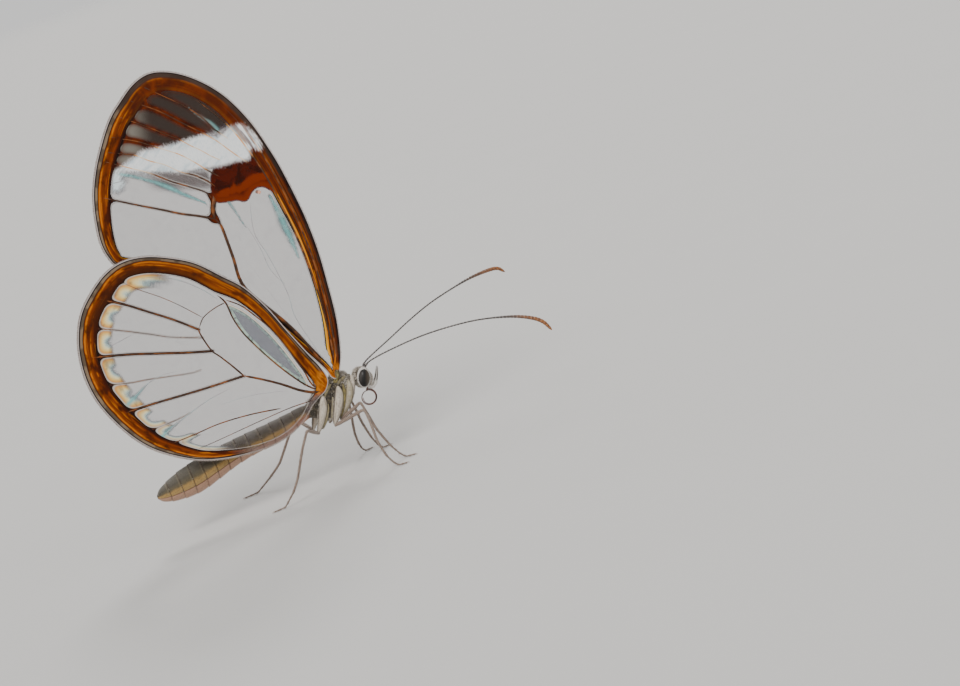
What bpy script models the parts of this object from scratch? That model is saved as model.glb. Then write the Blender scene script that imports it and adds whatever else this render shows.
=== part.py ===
"""A glasswing butterfly standing with its wings closed over its back, at life size.

Lengths here are millimetres and become metres when a mesh is made. +X is towards the head, the
butterfly's right side faces -Y, +Z is up, and all six feet stand on z = 0. Places in the side
view are written (x, z), and places in space (x, y, z).
"""

import math

import bmesh
import bpy
import numpy as np
from mathutils import Vector
from mathutils.geometry import delaunay_2d_cdt

MM = 0.001
SIDES = {"right": -1, "left": 1}
ROOT_GAP = 0.3
DENSE_STEPS = 40

# Wings: closed over the back, the forewings inside the hindwings.
MEMBRANE = 0.5
VEIN_RISE = 0.1
VEIN_HALF_WIDTH = 0.26
COSTA_INSET = 0.5
FORE_LAYER = 0.5
HIND_LAYER = 1.48
EDGE_STEP = 0.9
VEIN_STEP = 1.1
GRID_STEP = 1.6
CLEAR_OF_VEINS = 0.62
CLEAR_OF_OTHERS = 0.34

FORE_HINGE = (0.75, 7.3)
FORE_HINGE_SPREAD = 1.36
FORE_HINGE_REACH = 3.2
FORE_EDGE = [
    (1.05, 7.2), (1.5, 8.4), (2.0, 9.9), (2.65, 12.8), (3.0, 16.2), (3.0, 20.4), (2.6, 24.6),
    (1.7, 28.6), (0.2, 32.0), (-1.9, 34.3), (-4.3, 35.3), (-6.9, 34.5), (-9.3, 32.3),
    (-11.4, 29.3), (-12.6, 26.2), (-12.8, 23.9), (-12.2, 22.1), (-10.6, 21.4), (-8.0, 20.3),
    (-5.4, 18.0), (-3.3, 15.1), (-1.9, 12.4), (-0.6, 10.0), (0.15, 8.5), (0.35, 7.4),
]
FORE_COSTA = (0.3, 31.5)
FORE_VEINS = {
    "radius": [(0.75, 7.9), (1.65, 12.5), (1.75, 16.6), (1.45, 20.3), (0.9, 24.0), (0.2, 27.0)],
    "cubitus": [(0.45, 8.3), (-1.2, 12.6), (-3.4, 17.2), (-3.55, 20.2), (-3.75, 22.8)],
    "cell end": [(-3.75, 22.8), (-3.5, 24.6), (-2.3, 25.7), (-0.3, 26.4), (0.2, 27.0)],
    "first branch": [(-3.75, 22.8), (-6.2, 24.3), (-8.9, 26.0), (-11.4, 27.4)],
    "second branch": [(-3.6, 24.3), (-6.0, 26.9), (-8.6, 28.9), (-10.7, 29.3)],
    "third branch": [(-2.9, 25.3), (-5.1, 27.4), (-7.9, 29.8), (-9.4, 31.0)],
    "fourth branch": [(-1.9, 25.9), (-3.9, 28.2), (-6.4, 31.0), (-7.8, 32.6)],
    "fifth branch": [(-1.0, 26.2), (-2.6, 28.9), (-4.6, 31.9), (-5.9, 33.9)],
    "sixth branch": [(0.2, 27.0), (-0.8, 29.2), (-2.2, 31.6), (-3.6, 34.0)],
    "fold": [(-3.4, 17.2), (-5.2, 18.7)],
}

HIND_HINGE = (-0.75, 7.2)
HIND_HINGE_SPREAD = 0.5
HIND_HINGE_REACH = 4.0
FLANK_SPREAD = 0.4
FLANK_FROM = 7.6
FLANK_REACH = 1.8
HIND_EDGE = [
    (-0.45, 7.5), (-0.6, 8.9), (-1.2, 11.3), (-2.2, 14.0), (-3.6, 17.0), (-5.9, 19.8),
    (-8.7, 21.8), (-11.6, 22.5), (-14.3, 21.4), (-16.4, 19.4), (-17.6, 16.5), (-17.65, 13.4),
    (-16.7, 10.2), (-14.6, 7.5), (-11.8, 5.7), (-8.6, 4.75), (-5.7, 4.7), (-3.4, 5.2), (-1.75, 6.3),
    (-1.15, 6.9),
]
HIND_COSTA = (-11.0, 22.4)
HIND_VEINS = {
    "radius": [(-0.95, 8.0), (-1.9, 10.4), (-3.0, 13.4), (-4.5, 16.0), (-5.6, 16.9)],
    "cell front": [(-5.6, 16.9), (-7.0, 16.5), (-8.2, 15.5)],
    "cell end": [(-8.2, 15.5), (-8.1, 14.0), (-7.5, 12.6), (-6.2, 10.8)],
    "cubitus": [(-6.2, 10.8), (-4.4, 9.5), (-2.6, 8.1), (-1.35, 7.25)],
    "radial sector": [(-7.9, 15.8), (-10.1, 18.8), (-12.3, 21.0)],
    "first branch": [(-8.2, 15.5), (-11.3, 18.1), (-15.0, 20.3)],
    "second branch": [(-8.15, 14.4), (-11.9, 16.5), (-16.6, 18.4)],
    "third branch": [(-7.9, 13.4), (-11.9, 14.7), (-17.1, 16.0)],
    "fourth branch": [(-6.2, 10.8), (-9.9, 10.9), (-13.4, 11.2), (-16.4, 11.5)],
    "first anal": [(-1.5, 6.9), (-4.4, 7.15), (-9.2, 7.85), (-13.4, 7.8)],
    "second anal": [(-1.5, 6.9), (-3.9, 6.6), (-8.0, 6.6), (-11.6, 6.5)],
}

# The left wings lie this far forward and down, so that they sit squarely behind the right ones
# from a little behind and above.
SHIFTS = {
    ("fore", "right"): (0.0, 0.0), ("fore", "left"): (0.12, -0.1),
    ("hind", "right"): (0.0, 0.0), ("hind", "left"): (0.33, -0.27),
}

# Body: stations of (x, height of the middle, half height, half width).
BODY_SIDES = 24
NECK_X = 1.8
WAIST_X = -2.2
THORAX = [
    (NECK_X, 6.8, 0.45, 0.45), (1.55, 6.82, 0.95, 0.82), (1.1, 6.6, 1.3, 1.06),
    (0.45, 6.35, 1.55, 1.22), (-0.55, 6.1, 1.55, 1.22), (-1.3, 5.95, 1.2, 1.05),
    (-1.9, 5.85, 0.8, 0.78), (WAIST_X, 5.8, 0.52, 0.52),
]
RIDGE = MEMBRANE / 2 + VEIN_RISE
HINGE_PADS = {
    "fore": (*FORE_HINGE, FORE_LAYER + FORE_HINGE_SPREAD - RIDGE - ROOT_GAP),
    "hind": (*HIND_HINGE, HIND_LAYER + HIND_HINGE_SPREAD - RIDGE - ROOT_GAP),
}
PAD_RADIUS = 0.42
PAD_START = 0.3
PAD_BEVEL = 0.15
ABDOMEN = [
    (WAIST_X - ROOT_GAP, 5.76, 0.5, 0.5), (-3.3, 5.65, 0.7, 0.66), (-4.6, 5.36, 0.86, 0.84),
    (-6.0, 5.2, 0.92, 0.93), (-7.6, 5.1, 0.95, 0.98), (-9.2, 4.9, 1.05, 1.03),
    (-10.8, 4.6, 1.2, 1.1), (-12.3, 4.3, 1.27, 1.14), (-13.6, 4.13, 1.15, 1.05),
    (-14.8, 4.0, 0.84, 0.78), (-15.5, 3.95, 0.55, 0.5), (-15.85, 3.92, 0.2, 0.18),
]
ABDOMEN_SEGMENTS = 10
SEGMENT_GROOVE = 0.045
HEAD_HALF_WIDTH = 0.42
HEAD_MIDDLE = 6.74
HEAD_HALF_HEIGHT = 0.93
HEAD = [
    (NECK_X + ROOT_GAP, 6.75, 0.42, 0.36), (2.3, 6.78, 0.76, HEAD_HALF_WIDTH),
    (2.7, HEAD_MIDDLE, HEAD_HALF_HEIGHT, HEAD_HALF_WIDTH), (3.1, 6.7, 0.85, HEAD_HALF_WIDTH),
    (3.4, 6.65, 0.56, 0.37), (3.56, 6.6, 0.24, 0.2),
]
EYE_CENTRE = (2.8, HEAD_HALF_WIDTH + ROOT_GAP, 6.78)
EYE_SIZE = (0.53, 0.62, 0.8)
EYE_TILT = 18.0
EYE_RINGS = (0, 18, 36, 54, 70, 82)

# Coxae: (root inside the thorax, tip, root radius, tip radius), with y written outwards.
COXA_TAPER = 0.9
PIECE_SIDES = 12
COXAE = {
    "fore": ((1.35, 0.4, 5.9), (-0.1, 0.72, 4.33), 0.5, 0.27),
    "mid": ((0.25, 0.6, 5.7), (-0.75, 1.1, 4.08), 0.5, 0.28),
    "hind": ((-0.95, 0.55, 5.6), (-2.2, 1.05, 3.98), 0.5, 0.28),
}
# Legs: points of the middle line as (x, y outwards, z, radius), from near the coxa's tip to the claws.
SOLE = 0.2
LEGS = {
    "leg_fore_right": [
        (1.0, 1.9, 4.95, 0.3), (1.62, 2.2, 5.3, 0.26), (1.8, 2.45, 4.2, 0.26),
        (1.98, 2.8, 2.85, 0.25), (2.5, 3.15, 1.35, 0.25), (2.95, 3.4, 0.45, 0.25), (3.3, 3.6, SOLE, 0.25),
        (4.0, 3.9, SOLE, 0.22),
    ],
    "leg_fore_left": [
        (1.0, 1.8, 4.95, 0.3), (1.6, 2.0, 5.2, 0.26), (1.75, 2.2, 4.2, 0.26),
        (1.9, 2.5, 2.85, 0.25), (2.25, 2.8, 1.35, 0.25), (2.6, 3.0, 0.45, 0.25), (2.95, 3.15, SOLE, 0.25),
        (3.6, 3.4, SOLE, 0.22),
    ],
    "leg_mid_right": [
        (0.6, 2.9, 4.65, 0.31), (1.45, 3.8, 4.95, 0.26), (1.45, 4.35, 3.9, 0.26),
        (1.35, 4.95, 2.4, 0.25), (1.6, 5.2, 1.1, 0.25), (1.9, 5.4, 0.4, 0.25), (2.2, 5.55, SOLE, 0.25),
        (2.85, 5.7, SOLE, 0.22),
    ],
    "leg_mid_left": [
        (0.8, 2.9, 4.6, 0.31), (1.75, 3.7, 4.75, 0.26), (1.55, 4.0, 3.5, 0.26),
        (1.3, 4.2, 1.9, 0.25), (1.35, 4.4, 0.9, 0.25), (1.5, 4.55, 0.35, 0.25), (1.75, 4.7, SOLE, 0.25),
        (2.35, 4.95, SOLE, 0.22),
    ],
    "leg_hind_right": [
        (-3.0, 3.0, 4.75, 0.31), (-3.45, 3.95, 5.1, 0.26), (-4.3, 4.1, 3.9, 0.26),
        (-5.45, 4.15, 1.9, 0.25), (-6.1, 4.1, 1.05, 0.25), (-6.7, 4.05, 0.45, 0.25), (-7.15, 4.0, SOLE, 0.25),
        (-8.05, 3.9, SOLE, 0.22),
    ],
    "leg_hind_left": [
        (-2.75, 3.1, 4.7, 0.31), (-2.95, 4.1, 4.9, 0.26), (-3.9, 4.7, 3.5, 0.26),
        (-5.2, 5.2, 1.75, 0.25), (-6.2, 5.4, 1.0, 0.25), (-7.1, 5.5, 0.45, 0.25), (-7.7, 5.55, SOLE, 0.25),
        (-8.8, 5.65, SOLE, 0.22),
    ],
}
ROD_SIDES = 8
ROD_STEPS = 3
FEMUR_ROOT = 0.27
FEMUR_CLEARANCE = 0.16
FEMUR_LEAN = (0.22, 1.0, 0.12)
ANTENNA_ROOT = (3.4, HEAD_HALF_WIDTH, HEAD_MIDDLE + HEAD_HALF_HEIGHT, 0.26)
ANTENNAE = {
    "antenna_right": [
        ANTENNA_ROOT, (3.95, 0.6, 7.84, 0.25), (5.5, 1.08, 8.1, 0.25), (8.0, 1.8, 8.32, 0.25),
        (10.5, 2.5, 8.27, 0.25), (12.8, 3.1, 8.0, 0.25), (15.1, 3.7, 7.4, 0.27), (16.5, 4.1, 6.78, 0.28),
        (17.3, 4.35, 6.15, 0.25), (17.7, 4.55, 5.35, 0.12),
    ],
    "antenna_left": [
        ANTENNA_ROOT, (4.1, 0.64, 7.92, 0.25), (6.3, 1.37, 8.58, 0.25), (8.5, 2.05, 9.27, 0.25),
        (10.6, 2.67, 9.8, 0.25), (12.7, 3.2, 10.14, 0.25), (14.7, 3.8, 10.33, 0.27), (16.4, 4.25, 10.3, 0.28),
        (17.3, 4.45, 10.12, 0.25), (17.8, 4.6, 9.65, 0.12),
    ],
}
PALP = [
    (3.15, 0.74, 5.54, 0.25), (3.6, 0.7, 5.66, 0.26), (3.95, 0.6, 6.2, 0.25), (4.15, 0.54, 6.8, 0.2),
    (4.25, 0.5, 7.3, 0.1),
]
PROBOSCIS_CENTRE = (2.85, 4.71)
PROBOSCIS_COIL = 0.62
PROBOSCIS_RADII = (0.23, 0.13)
PROBOSCIS_ANGLES = (78.0, -205.0)
PROBOSCIS_RINGS = 22

COLOURS = {
    "membrane": ((0.62, 0.36, 0.16), 0.35),
    "body": ((0.52, 0.46, 0.36), 0.8),
    "eye": ((0.05, 0.045, 0.05), 0.2),
    "leg": ((0.42, 0.38, 0.33), 0.6),
    "antenna": ((0.12, 0.1, 0.09), 0.5),
    "mouth": ((0.6, 0.57, 0.5), 0.7),
}


def material(name):
    """The plain finish of one kind of part, made once."""
    found = bpy.data.materials.get(name)
    if found:
        return found
    colour, roughness = COLOURS[name]
    made = bpy.data.materials.new(name)
    made.use_nodes = True
    shader = made.node_tree.nodes["Principled BSDF"]
    shader.inputs["Base Color"].default_value = (*colour, 1.0)
    shader.inputs["Roughness"].default_value = roughness
    return made


def smooth_points(points, per_span):
    """A Catmull-Rom curve through the points, with per_span steps between neighbours."""
    p = np.asarray(points, float)
    p = np.vstack([2 * p[0] - p[1], p, 2 * p[-1] - p[-2]])
    t = np.linspace(0, 1, per_span, endpoint=False)[:, None]
    spans = [
        0.5 * (2 * b + (c - a) * t + (2 * a - 5 * b + 4 * c - d) * t**2 + (3 * b - a - 3 * c + d) * t**3)
        for a, b, c, d in zip(p, p[1:], p[2:], p[3:])
    ]
    return np.vstack([*spans, p[-2:-1]])


def even_points(points, step):
    """The smooth curve through the points, at even steps close to the one asked for."""
    dense = smooth_points(points, DENSE_STEPS)
    run = np.concatenate([[0], np.cumsum(np.linalg.norm(np.diff(dense, axis=0), axis=1))])
    count = max(2, round(run[-1] / step) + 1)
    at = np.linspace(0, run[-1], count)
    return np.stack([np.interp(at, run, dense[:, i]) for i in range(dense.shape[1])], axis=1)


def add_object(name, build, look):
    """One closed mesh object from a bmesh in millimetres, facing out and shaded smooth."""
    bmesh.ops.recalc_face_normals(build, faces=build.faces)
    bmesh.ops.scale(build, vec=Vector((MM, MM, MM)), verts=build.verts)
    mesh = bpy.data.meshes.new(name)
    build.to_mesh(mesh)
    build.free()
    mesh.shade_smooth()
    mesh.set_sharp_from_angle(angle=math.radians(40))
    made = bpy.data.objects.new(name, mesh)
    made.data.materials.append(material(look))
    bpy.context.scene.collection.objects.link(made)
    return made


def skin_rings(build, rings):
    """Joins rings of equal size by strips of triangles and closes both ends with a flat face."""
    loops = [[build.verts.new(Vector(point)) for point in ring] for ring in rings]
    sides = len(loops[0])
    for low, high in zip(loops, loops[1:]):
        for i in range(sides):
            j = (i + 1) % sides
            build.faces.new((low[i], low[j], high[j]))
            build.faces.new((low[i], high[j], high[i]))
    build.faces.new(list(reversed(loops[0])))
    build.faces.new(loops[-1])


def body_rings(stations, per_span, groove=None):
    """Upright oval rings through stations along x, drawn in by groove(x) where one is given."""
    angles = np.linspace(0, 2 * math.pi, BODY_SIDES, endpoint=False)
    rings = []
    for x, middle, half_height, half_width in smooth_points(stations, per_span):
        inset = groove(x) if groove else 0.0
        y = (half_width - inset) * np.cos(angles)
        z = middle + (half_height - inset) * np.sin(angles)
        rings.append(np.stack([np.full_like(y, x), y, z], axis=1))
    return rings


def tube_rings(path, sides, floor=None):
    """Round rings along a path of (x, y, z, radius), carried along without twist."""
    path = np.asarray(path, float)
    points, radii = path[:, :3], path[:, 3]
    along = np.gradient(points, axis=0)
    along /= np.linalg.norm(along, axis=1)[:, None]
    aside = (0.0, 0.0, 1.0) if abs(along[0][1]) > 0.9 else (0.0, 1.0, 0.0)
    across = np.cross(along[0], aside)
    angles = np.linspace(0, 2 * math.pi, sides, endpoint=False) + math.pi / sides
    rings = []
    for point, radius, axis in zip(points, radii, along):
        across = across - axis * (across @ axis)
        across /= np.linalg.norm(across)
        other = np.cross(axis, across)
        ring = point + radius * (np.outer(np.cos(angles), across) + np.outer(np.sin(angles), other))
        if floor is not None:
            ring[:, 2] = np.maximum(ring[:, 2], floor)
        rings.append(ring)
    return rings


def sided(path, sign):
    """A path written with y outwards, put on one side of the body."""
    placed = np.array(path, float)
    placed[:, 1] *= sign
    return placed


def distance_to_line(points, line):
    """The distance of each point from a line of straight pieces, in the side view."""
    start, step = line[:-1], np.diff(line, axis=0)
    offset = points[:, None] - start
    share = np.clip((offset * step).sum(axis=2) / (step**2).sum(axis=1), 0, 1)
    return np.linalg.norm(offset - share[..., None] * step, axis=2).min(axis=1)


def inside_outline(points, outline):
    """Whether each point is inside a closed outline: an odd number of edges lie to its right."""
    x, z = points[:, :1], points[:, 1:]
    start, end = outline, np.roll(outline, -1, axis=0)
    crosses = (start[:, 1] > z) != (end[:, 1] > z)
    slope = (end[:, 0] - start[:, 0]) / np.where(end[:, 1] == start[:, 1], 1, end[:, 1] - start[:, 1])
    return ((x < start[:, 0] + slope * (z - start[:, 1])) & crosses).sum(axis=1) % 2 == 1


def soft_step(value):
    """0 below 0 and 1 above 1, with a smooth rise between."""
    value = np.clip(value, 0, 1)
    return value * value * (3 - 2 * value)


def fore_layer(points):
    """How far out a forewing lies: flat over the back, and spread to the hinge at its root."""
    reach = np.linalg.norm(points - FORE_HINGE, axis=1) / FORE_HINGE_REACH
    return FORE_LAYER + FORE_HINGE_SPREAD * soft_step(1 - reach)


def hind_layer(points):
    """How far out a hindwing lies: spread to the hinge at its root and round the abdomen below."""
    root = soft_step(1 - np.linalg.norm(points - HIND_HINGE, axis=1) / HIND_HINGE_REACH)
    flank = soft_step((FLANK_FROM - points[:, 1]) / FLANK_REACH)
    return HIND_LAYER + np.maximum(HIND_HINGE_SPREAD * root, FLANK_SPREAD * flank)


def costa_line(outline, tip):
    """The stiff vein of the front edge: the outline from the root as far as tip, moved inwards."""
    last = int(np.argmin(np.linalg.norm(outline - tip, axis=1)))
    line = outline[1 : last + 1]
    along = np.gradient(line, axis=0)
    along /= np.linalg.norm(along, axis=1)[:, None]
    inwards = np.stack([-along[:, 1], along[:, 0]], axis=1)
    return line + COSTA_INSET * inwards


def vein_lines(outline, veins, tip):
    """Each vein as evenly spaced points, with its ends joined to the veins before it."""
    lines = [costa_line(outline, np.array(tip))]
    for controls in veins.values():
        line = even_points(controls, VEIN_STEP)
        known = np.vstack(lines)
        for end in (0, -1):
            near = np.linalg.norm(known - line[end], axis=1)
            if near.min() < VEIN_STEP / 2:
                line[end] = known[near.argmin()]
        lines.append(line)
    return lines


def vein_sides(lines):
    """Points at the foot of each vein's ridge, on both sides, clear of the other veins."""
    kept = []
    for index, line in enumerate(lines):
        along = np.gradient(line, axis=0)
        along /= np.linalg.norm(along, axis=1)[:, None]
        across = np.stack([-along[:, 1], along[:, 0]], axis=1) * VEIN_HALF_WIDTH
        feet = np.vstack([line + across, line - across])
        others = [other for place, other in enumerate(lines) if place != index]
        clear = np.min([distance_to_line(feet, other) for other in others], axis=0)
        kept.append(feet[clear > CLEAR_OF_OTHERS])
    return np.vstack(kept)


def grid_points(outline, taken):
    """A spread of points over the membrane that keeps off the edge and the veins."""
    low, high = outline.min(axis=0), outline.max(axis=0)
    columns = np.arange(low[0], high[0], GRID_STEP)
    rows = np.arange(low[1], high[1], GRID_STEP * math.sqrt(3) / 2)
    shift = (np.arange(len(rows)) % 2 * GRID_STEP / 2)[:, None]
    x = (columns[None, :] + shift).ravel()
    z = np.repeat(rows, len(columns))
    spread = np.stack([x, z], axis=1)
    spread = spread[inside_outline(spread, outline)]
    nearest = np.linalg.norm(spread[:, None] - taken, axis=2).min(axis=1)
    return spread[nearest > CLEAR_OF_VEINS]


def wing(pair, side, edge, tip, veins, layer):
    """A plate along the wing's outline, the same triangles on both faces, raised along the veins."""
    outline = even_points(edge, EDGE_STEP)
    lines = vein_lines(outline, veins, tip)
    feet = vein_sides(lines)
    rim_clear = distance_to_line(feet, np.vstack([outline, outline[:1]]))
    feet = feet[inside_outline(feet, outline) & (rim_clear > VEIN_HALF_WIDTH / 2)]
    fixed = np.vstack([outline, *lines])
    loose = np.vstack([feet, grid_points(outline, np.vstack([fixed, feet]))])
    count = len(outline)
    edges = [(i, (i + 1) % count) for i in range(count)]
    start = count
    for line in lines:
        edges += [(start + i, start + i + 1) for i in range(len(line) - 1)]
        start += len(line)
    flat = [Vector(point) for point in np.vstack([fixed, loose])]
    points, _, faces, _, _, _ = delaunay_2d_cdt(flat, edges, [], 1, 1e-4)
    points = np.array([tuple(point) for point in points])
    near_vein = np.min([distance_to_line(points, line) for line in lines], axis=0)
    half = MEMBRANE / 2 + VEIN_RISE * np.clip(1 - near_vein / VEIN_HALF_WIDTH, 0, 1)
    out = SIDES[side]
    middle = layer(points)
    place = points + SHIFTS[pair, side]
    build = bmesh.new()
    outer = [build.verts.new((x, out * (m + h), z)) for (x, z), m, h in zip(place, middle, half)]
    inner = [build.verts.new((x, out * (m - h), z)) for (x, z), m, h in zip(place, middle, half)]
    seen = {}
    for a, b, c in faces:
        build.faces.new((outer[a], outer[b], outer[c]))
        build.faces.new((inner[c], inner[b], inner[a]))
        for edge_ends in ((a, b), (b, c), (c, a)):
            seen[frozenset(edge_ends)] = None if frozenset(edge_ends) in seen else edge_ends
    for a, b in filter(None, seen.values()):
        build.faces.new((outer[b], outer[a], inner[a]))
        build.faces.new((outer[b], inner[a], inner[b]))
    loose_ends = [vert for vert in build.verts if not vert.link_faces]
    bmesh.ops.delete(build, geom=loose_ends, context="VERTS")
    add_object(f"{pair}wing_{side}", build, "membrane")


def round_piece(name, path):
    """A tapered tube as a helper object that a union joins to a node."""
    build = bmesh.new()
    skin_rings(build, tube_rings(path, PIECE_SIDES))
    return add_object(name, build, "body")


def join_pieces(base, pieces):
    """Fuses closed helper pieces into the base object and keeps its largest closed surface."""
    group = bpy.data.collections.new(base.name + " pieces")
    for piece in pieces:
        group.objects.link(piece)
    union = base.modifiers.new("union", "BOOLEAN")
    union.operation = "UNION"
    union.operand_type = "COLLECTION"
    union.collection = group
    bpy.context.view_layer.update()
    graph = bpy.context.evaluated_depsgraph_get()
    fused = bpy.data.meshes.new_from_object(base.evaluated_get(graph))
    base.modifiers.clear()
    base.data = fused
    for piece in pieces:
        bpy.data.objects.remove(piece)
    bpy.data.collections.remove(group)
    keep_largest(base)


def keep_largest(base):
    """Drops every closed surface of an object but the one with the most volume."""
    build = bmesh.new()
    build.from_mesh(base.data)
    bmesh.ops.triangulate(build, faces=build.faces)
    left = set(build.faces)
    shells = []
    while left:
        shell, front = set(), [left.pop()]
        while front:
            face = front.pop()
            shell.add(face)
            for edge in face.edges:
                fresh = [other for other in edge.link_faces if other in left]
                left.difference_update(fresh)
                front.extend(fresh)
        shells.append(shell)
    sizes = [abs(sum(f.verts[0].co.dot(f.verts[1].co.cross(f.verts[2].co)) for f in s)) for s in shells]
    largest = shells[sizes.index(max(sizes))]
    scraps = [face for face in build.faces if face not in largest]
    bmesh.ops.delete(build, geom=scraps, context="FACES")
    build.to_mesh(base.data)
    build.free()


def thorax():
    """The chest, with the six coxae below it and a flat pad at the side for each wing's root."""
    build = bmesh.new()
    skin_rings(build, body_rings(THORAX, 3))
    chest = add_object("thorax", build, "body")
    pieces = []
    for side, sign in SIDES.items():
        for name, (root, tip, root_radius, tip_radius) in COXAE.items():
            middle = tuple((a + b) / 2 for a, b in zip(root, tip))
            path = [(*root, root_radius), (*middle, COXA_TAPER * root_radius), (*tip, tip_radius)]
            pieces.append(round_piece(f"coxa {name} {side}", sided(path, sign)))
        for name, (x, z, reach) in HINGE_PADS.items():
            x, z = np.add((x, z), SHIFTS[name, side])
            path = [
                (x, PAD_START, z, PAD_RADIUS),
                (x, (1 - PAD_BEVEL) * reach, z, PAD_RADIUS),
                (x, reach, z, (1 - PAD_BEVEL) * PAD_RADIUS),
            ]
            pieces.append(round_piece(f"pad {name} {side}", sided(path, sign)))
    join_pieces(chest, pieces)


def abdomen():
    """The long hind body, drawn in a little at the joint between each two segments."""
    front, back = ABDOMEN[0][0], ABDOMEN[-1][0]

    def groove(x):
        wave = math.cos(2 * math.pi * ABDOMEN_SEGMENTS * (x - front) / (back - front))
        return SEGMENT_GROOVE * (0.5 + 0.5 * wave)

    build = bmesh.new()
    skin_rings(build, body_rings(ABDOMEN, 4, groove))
    add_object("abdomen", build, "body")


def head():
    """The head between the eyes, flat at the neck."""
    build = bmesh.new()
    skin_rings(build, body_rings(HEAD, 3))
    add_object("head", build, "body")


def eye(side):
    """A dome on the side of the head, flat where it faces the head and leaning forwards."""
    sign = SIDES[side]
    angles = np.linspace(0, 2 * math.pi, BODY_SIDES, endpoint=False)
    tilt = math.radians(EYE_TILT)
    rings = []
    for lift in np.radians(EYE_RINGS):
        u = EYE_SIZE[0] * math.cos(lift) * np.cos(angles)
        v = EYE_SIZE[2] * math.cos(lift) * np.sin(angles)
        x = EYE_CENTRE[0] + u * math.cos(tilt) + v * math.sin(tilt)
        z = EYE_CENTRE[2] - u * math.sin(tilt) + v * math.cos(tilt)
        y = np.full_like(x, sign * (EYE_CENTRE[1] + EYE_SIZE[1] * math.sin(lift)))
        rings.append(np.stack([x, y, z], axis=1))
    build = bmesh.new()
    skin_rings(build, rings)
    add_object(f"eye_{side}", build, "eye")


def tube_node(name, path, look, floor=None):
    """A node that is one tapered tube along a smooth path."""
    build = bmesh.new()
    skin_rings(build, tube_rings(smooth_points(path, ROD_STEPS), ROD_SIDES, floor))
    add_object(name, build, look)


def leg(name, path):
    """One leg, from a gap beyond its coxa's tip to the sole of its foot."""
    _, pair, side = name.split("_")
    _, tip, _, tip_radius = COXAE[pair]
    heading = np.subtract(path[0][:3], tip) * FEMUR_LEAN
    heading /= np.linalg.norm(heading)
    root = np.add(tip, heading * (tip_radius + ROOT_GAP + FEMUR_CLEARANCE))
    whole = [(*root, FEMUR_ROOT), *path]
    tube_node(name, sided(whole, SIDES[side]), "leg", floor=0.0)


def proboscis():
    """The drinking tube under the head, rolled into one open turn."""
    start, end = np.radians(PROBOSCIS_ANGLES)
    turn = np.linspace(start, end, PROBOSCIS_RINGS)
    x = PROBOSCIS_CENTRE[0] + PROBOSCIS_COIL * np.cos(turn)
    z = PROBOSCIS_CENTRE[1] + PROBOSCIS_COIL * np.sin(turn)
    radii = np.linspace(*PROBOSCIS_RADII, len(turn))
    build = bmesh.new()
    skin_rings(build, tube_rings(np.stack([x, np.zeros_like(x), z, radii], axis=1), ROD_SIDES))
    add_object("proboscis", build, "mouth")


def main():
    for old in list(bpy.data.objects):
        bpy.data.objects.remove(old)
    thorax()
    abdomen()
    head()
    proboscis()
    for side, sign in SIDES.items():
        eye(side)
        tube_node(f"palp_{side}", sided(PALP, sign), "mouth")
        wing("fore", side, FORE_EDGE, FORE_COSTA, FORE_VEINS, fore_layer)
        wing("hind", side, HIND_EDGE, HIND_COSTA, HIND_VEINS, hind_layer)
    for name, path in LEGS.items():
        leg(name, path)
    for name, path in ANTENNAE.items():
        sign = SIDES[name.rsplit("_", 1)[1]]
        tube_node(name, sided(path, sign), "antenna")


main()
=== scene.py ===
"""The finish of a life-size glasswing butterfly that stands with its wings closed over its back.

Shapes are worked out in millimetres and become metres when a mesh is made. +X is towards the
head, the right side faces -Y, and +Z is up. Places in the side view are written (x, z).
"""

import math

import bpy
import numpy as np
from mathutils import Matrix


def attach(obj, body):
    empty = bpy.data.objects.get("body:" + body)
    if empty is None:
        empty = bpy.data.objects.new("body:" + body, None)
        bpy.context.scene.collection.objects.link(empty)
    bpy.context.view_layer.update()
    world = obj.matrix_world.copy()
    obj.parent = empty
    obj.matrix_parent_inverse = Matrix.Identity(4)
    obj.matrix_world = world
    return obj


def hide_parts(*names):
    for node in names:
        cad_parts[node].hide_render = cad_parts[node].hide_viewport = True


bl_info = {
    "name": "Glasswing Butterfly",
    "version": (1, 0, 0),
    "blender": (4, 5, 0),
    "location": "3D View > Sidebar > Butterfly",
    "description": "Builds the wings, body, coat, legs and feelers of a standing glasswing butterfly",
    "category": "Add Mesh",
}

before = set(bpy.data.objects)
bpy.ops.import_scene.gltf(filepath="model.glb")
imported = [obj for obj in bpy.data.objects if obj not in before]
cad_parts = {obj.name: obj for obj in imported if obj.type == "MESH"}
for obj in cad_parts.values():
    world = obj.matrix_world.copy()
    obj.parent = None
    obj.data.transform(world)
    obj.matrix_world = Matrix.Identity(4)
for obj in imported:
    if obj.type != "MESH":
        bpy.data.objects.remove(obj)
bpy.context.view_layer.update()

MM = 0.001
SIDES = {"right": -1, "left": 1}
SEED = 7
OUTWARDS = np.array([0.0, 1.0, 0.0])
TINY = 1e-12
MOST_PAIRS = 2000000
SHARP_ANGLE = 60.0
# Half the width of a tuft's patch on the coat's UV map.
HALF_PATCH = 0.0015

# The camera, and the line along which the far wings lie behind the near ones.
CAMERA_TURN = -12.0
CAMERA_RISE = 10.0
CAMERA_ROLL = 20.0
CAMERA_AT = np.array([-31.328, -207.724, 43.119])
CAMERA_LENS = 100.0
CAMERA_SENSOR = 36.0
CAMERA_NEAR = 0.005

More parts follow.
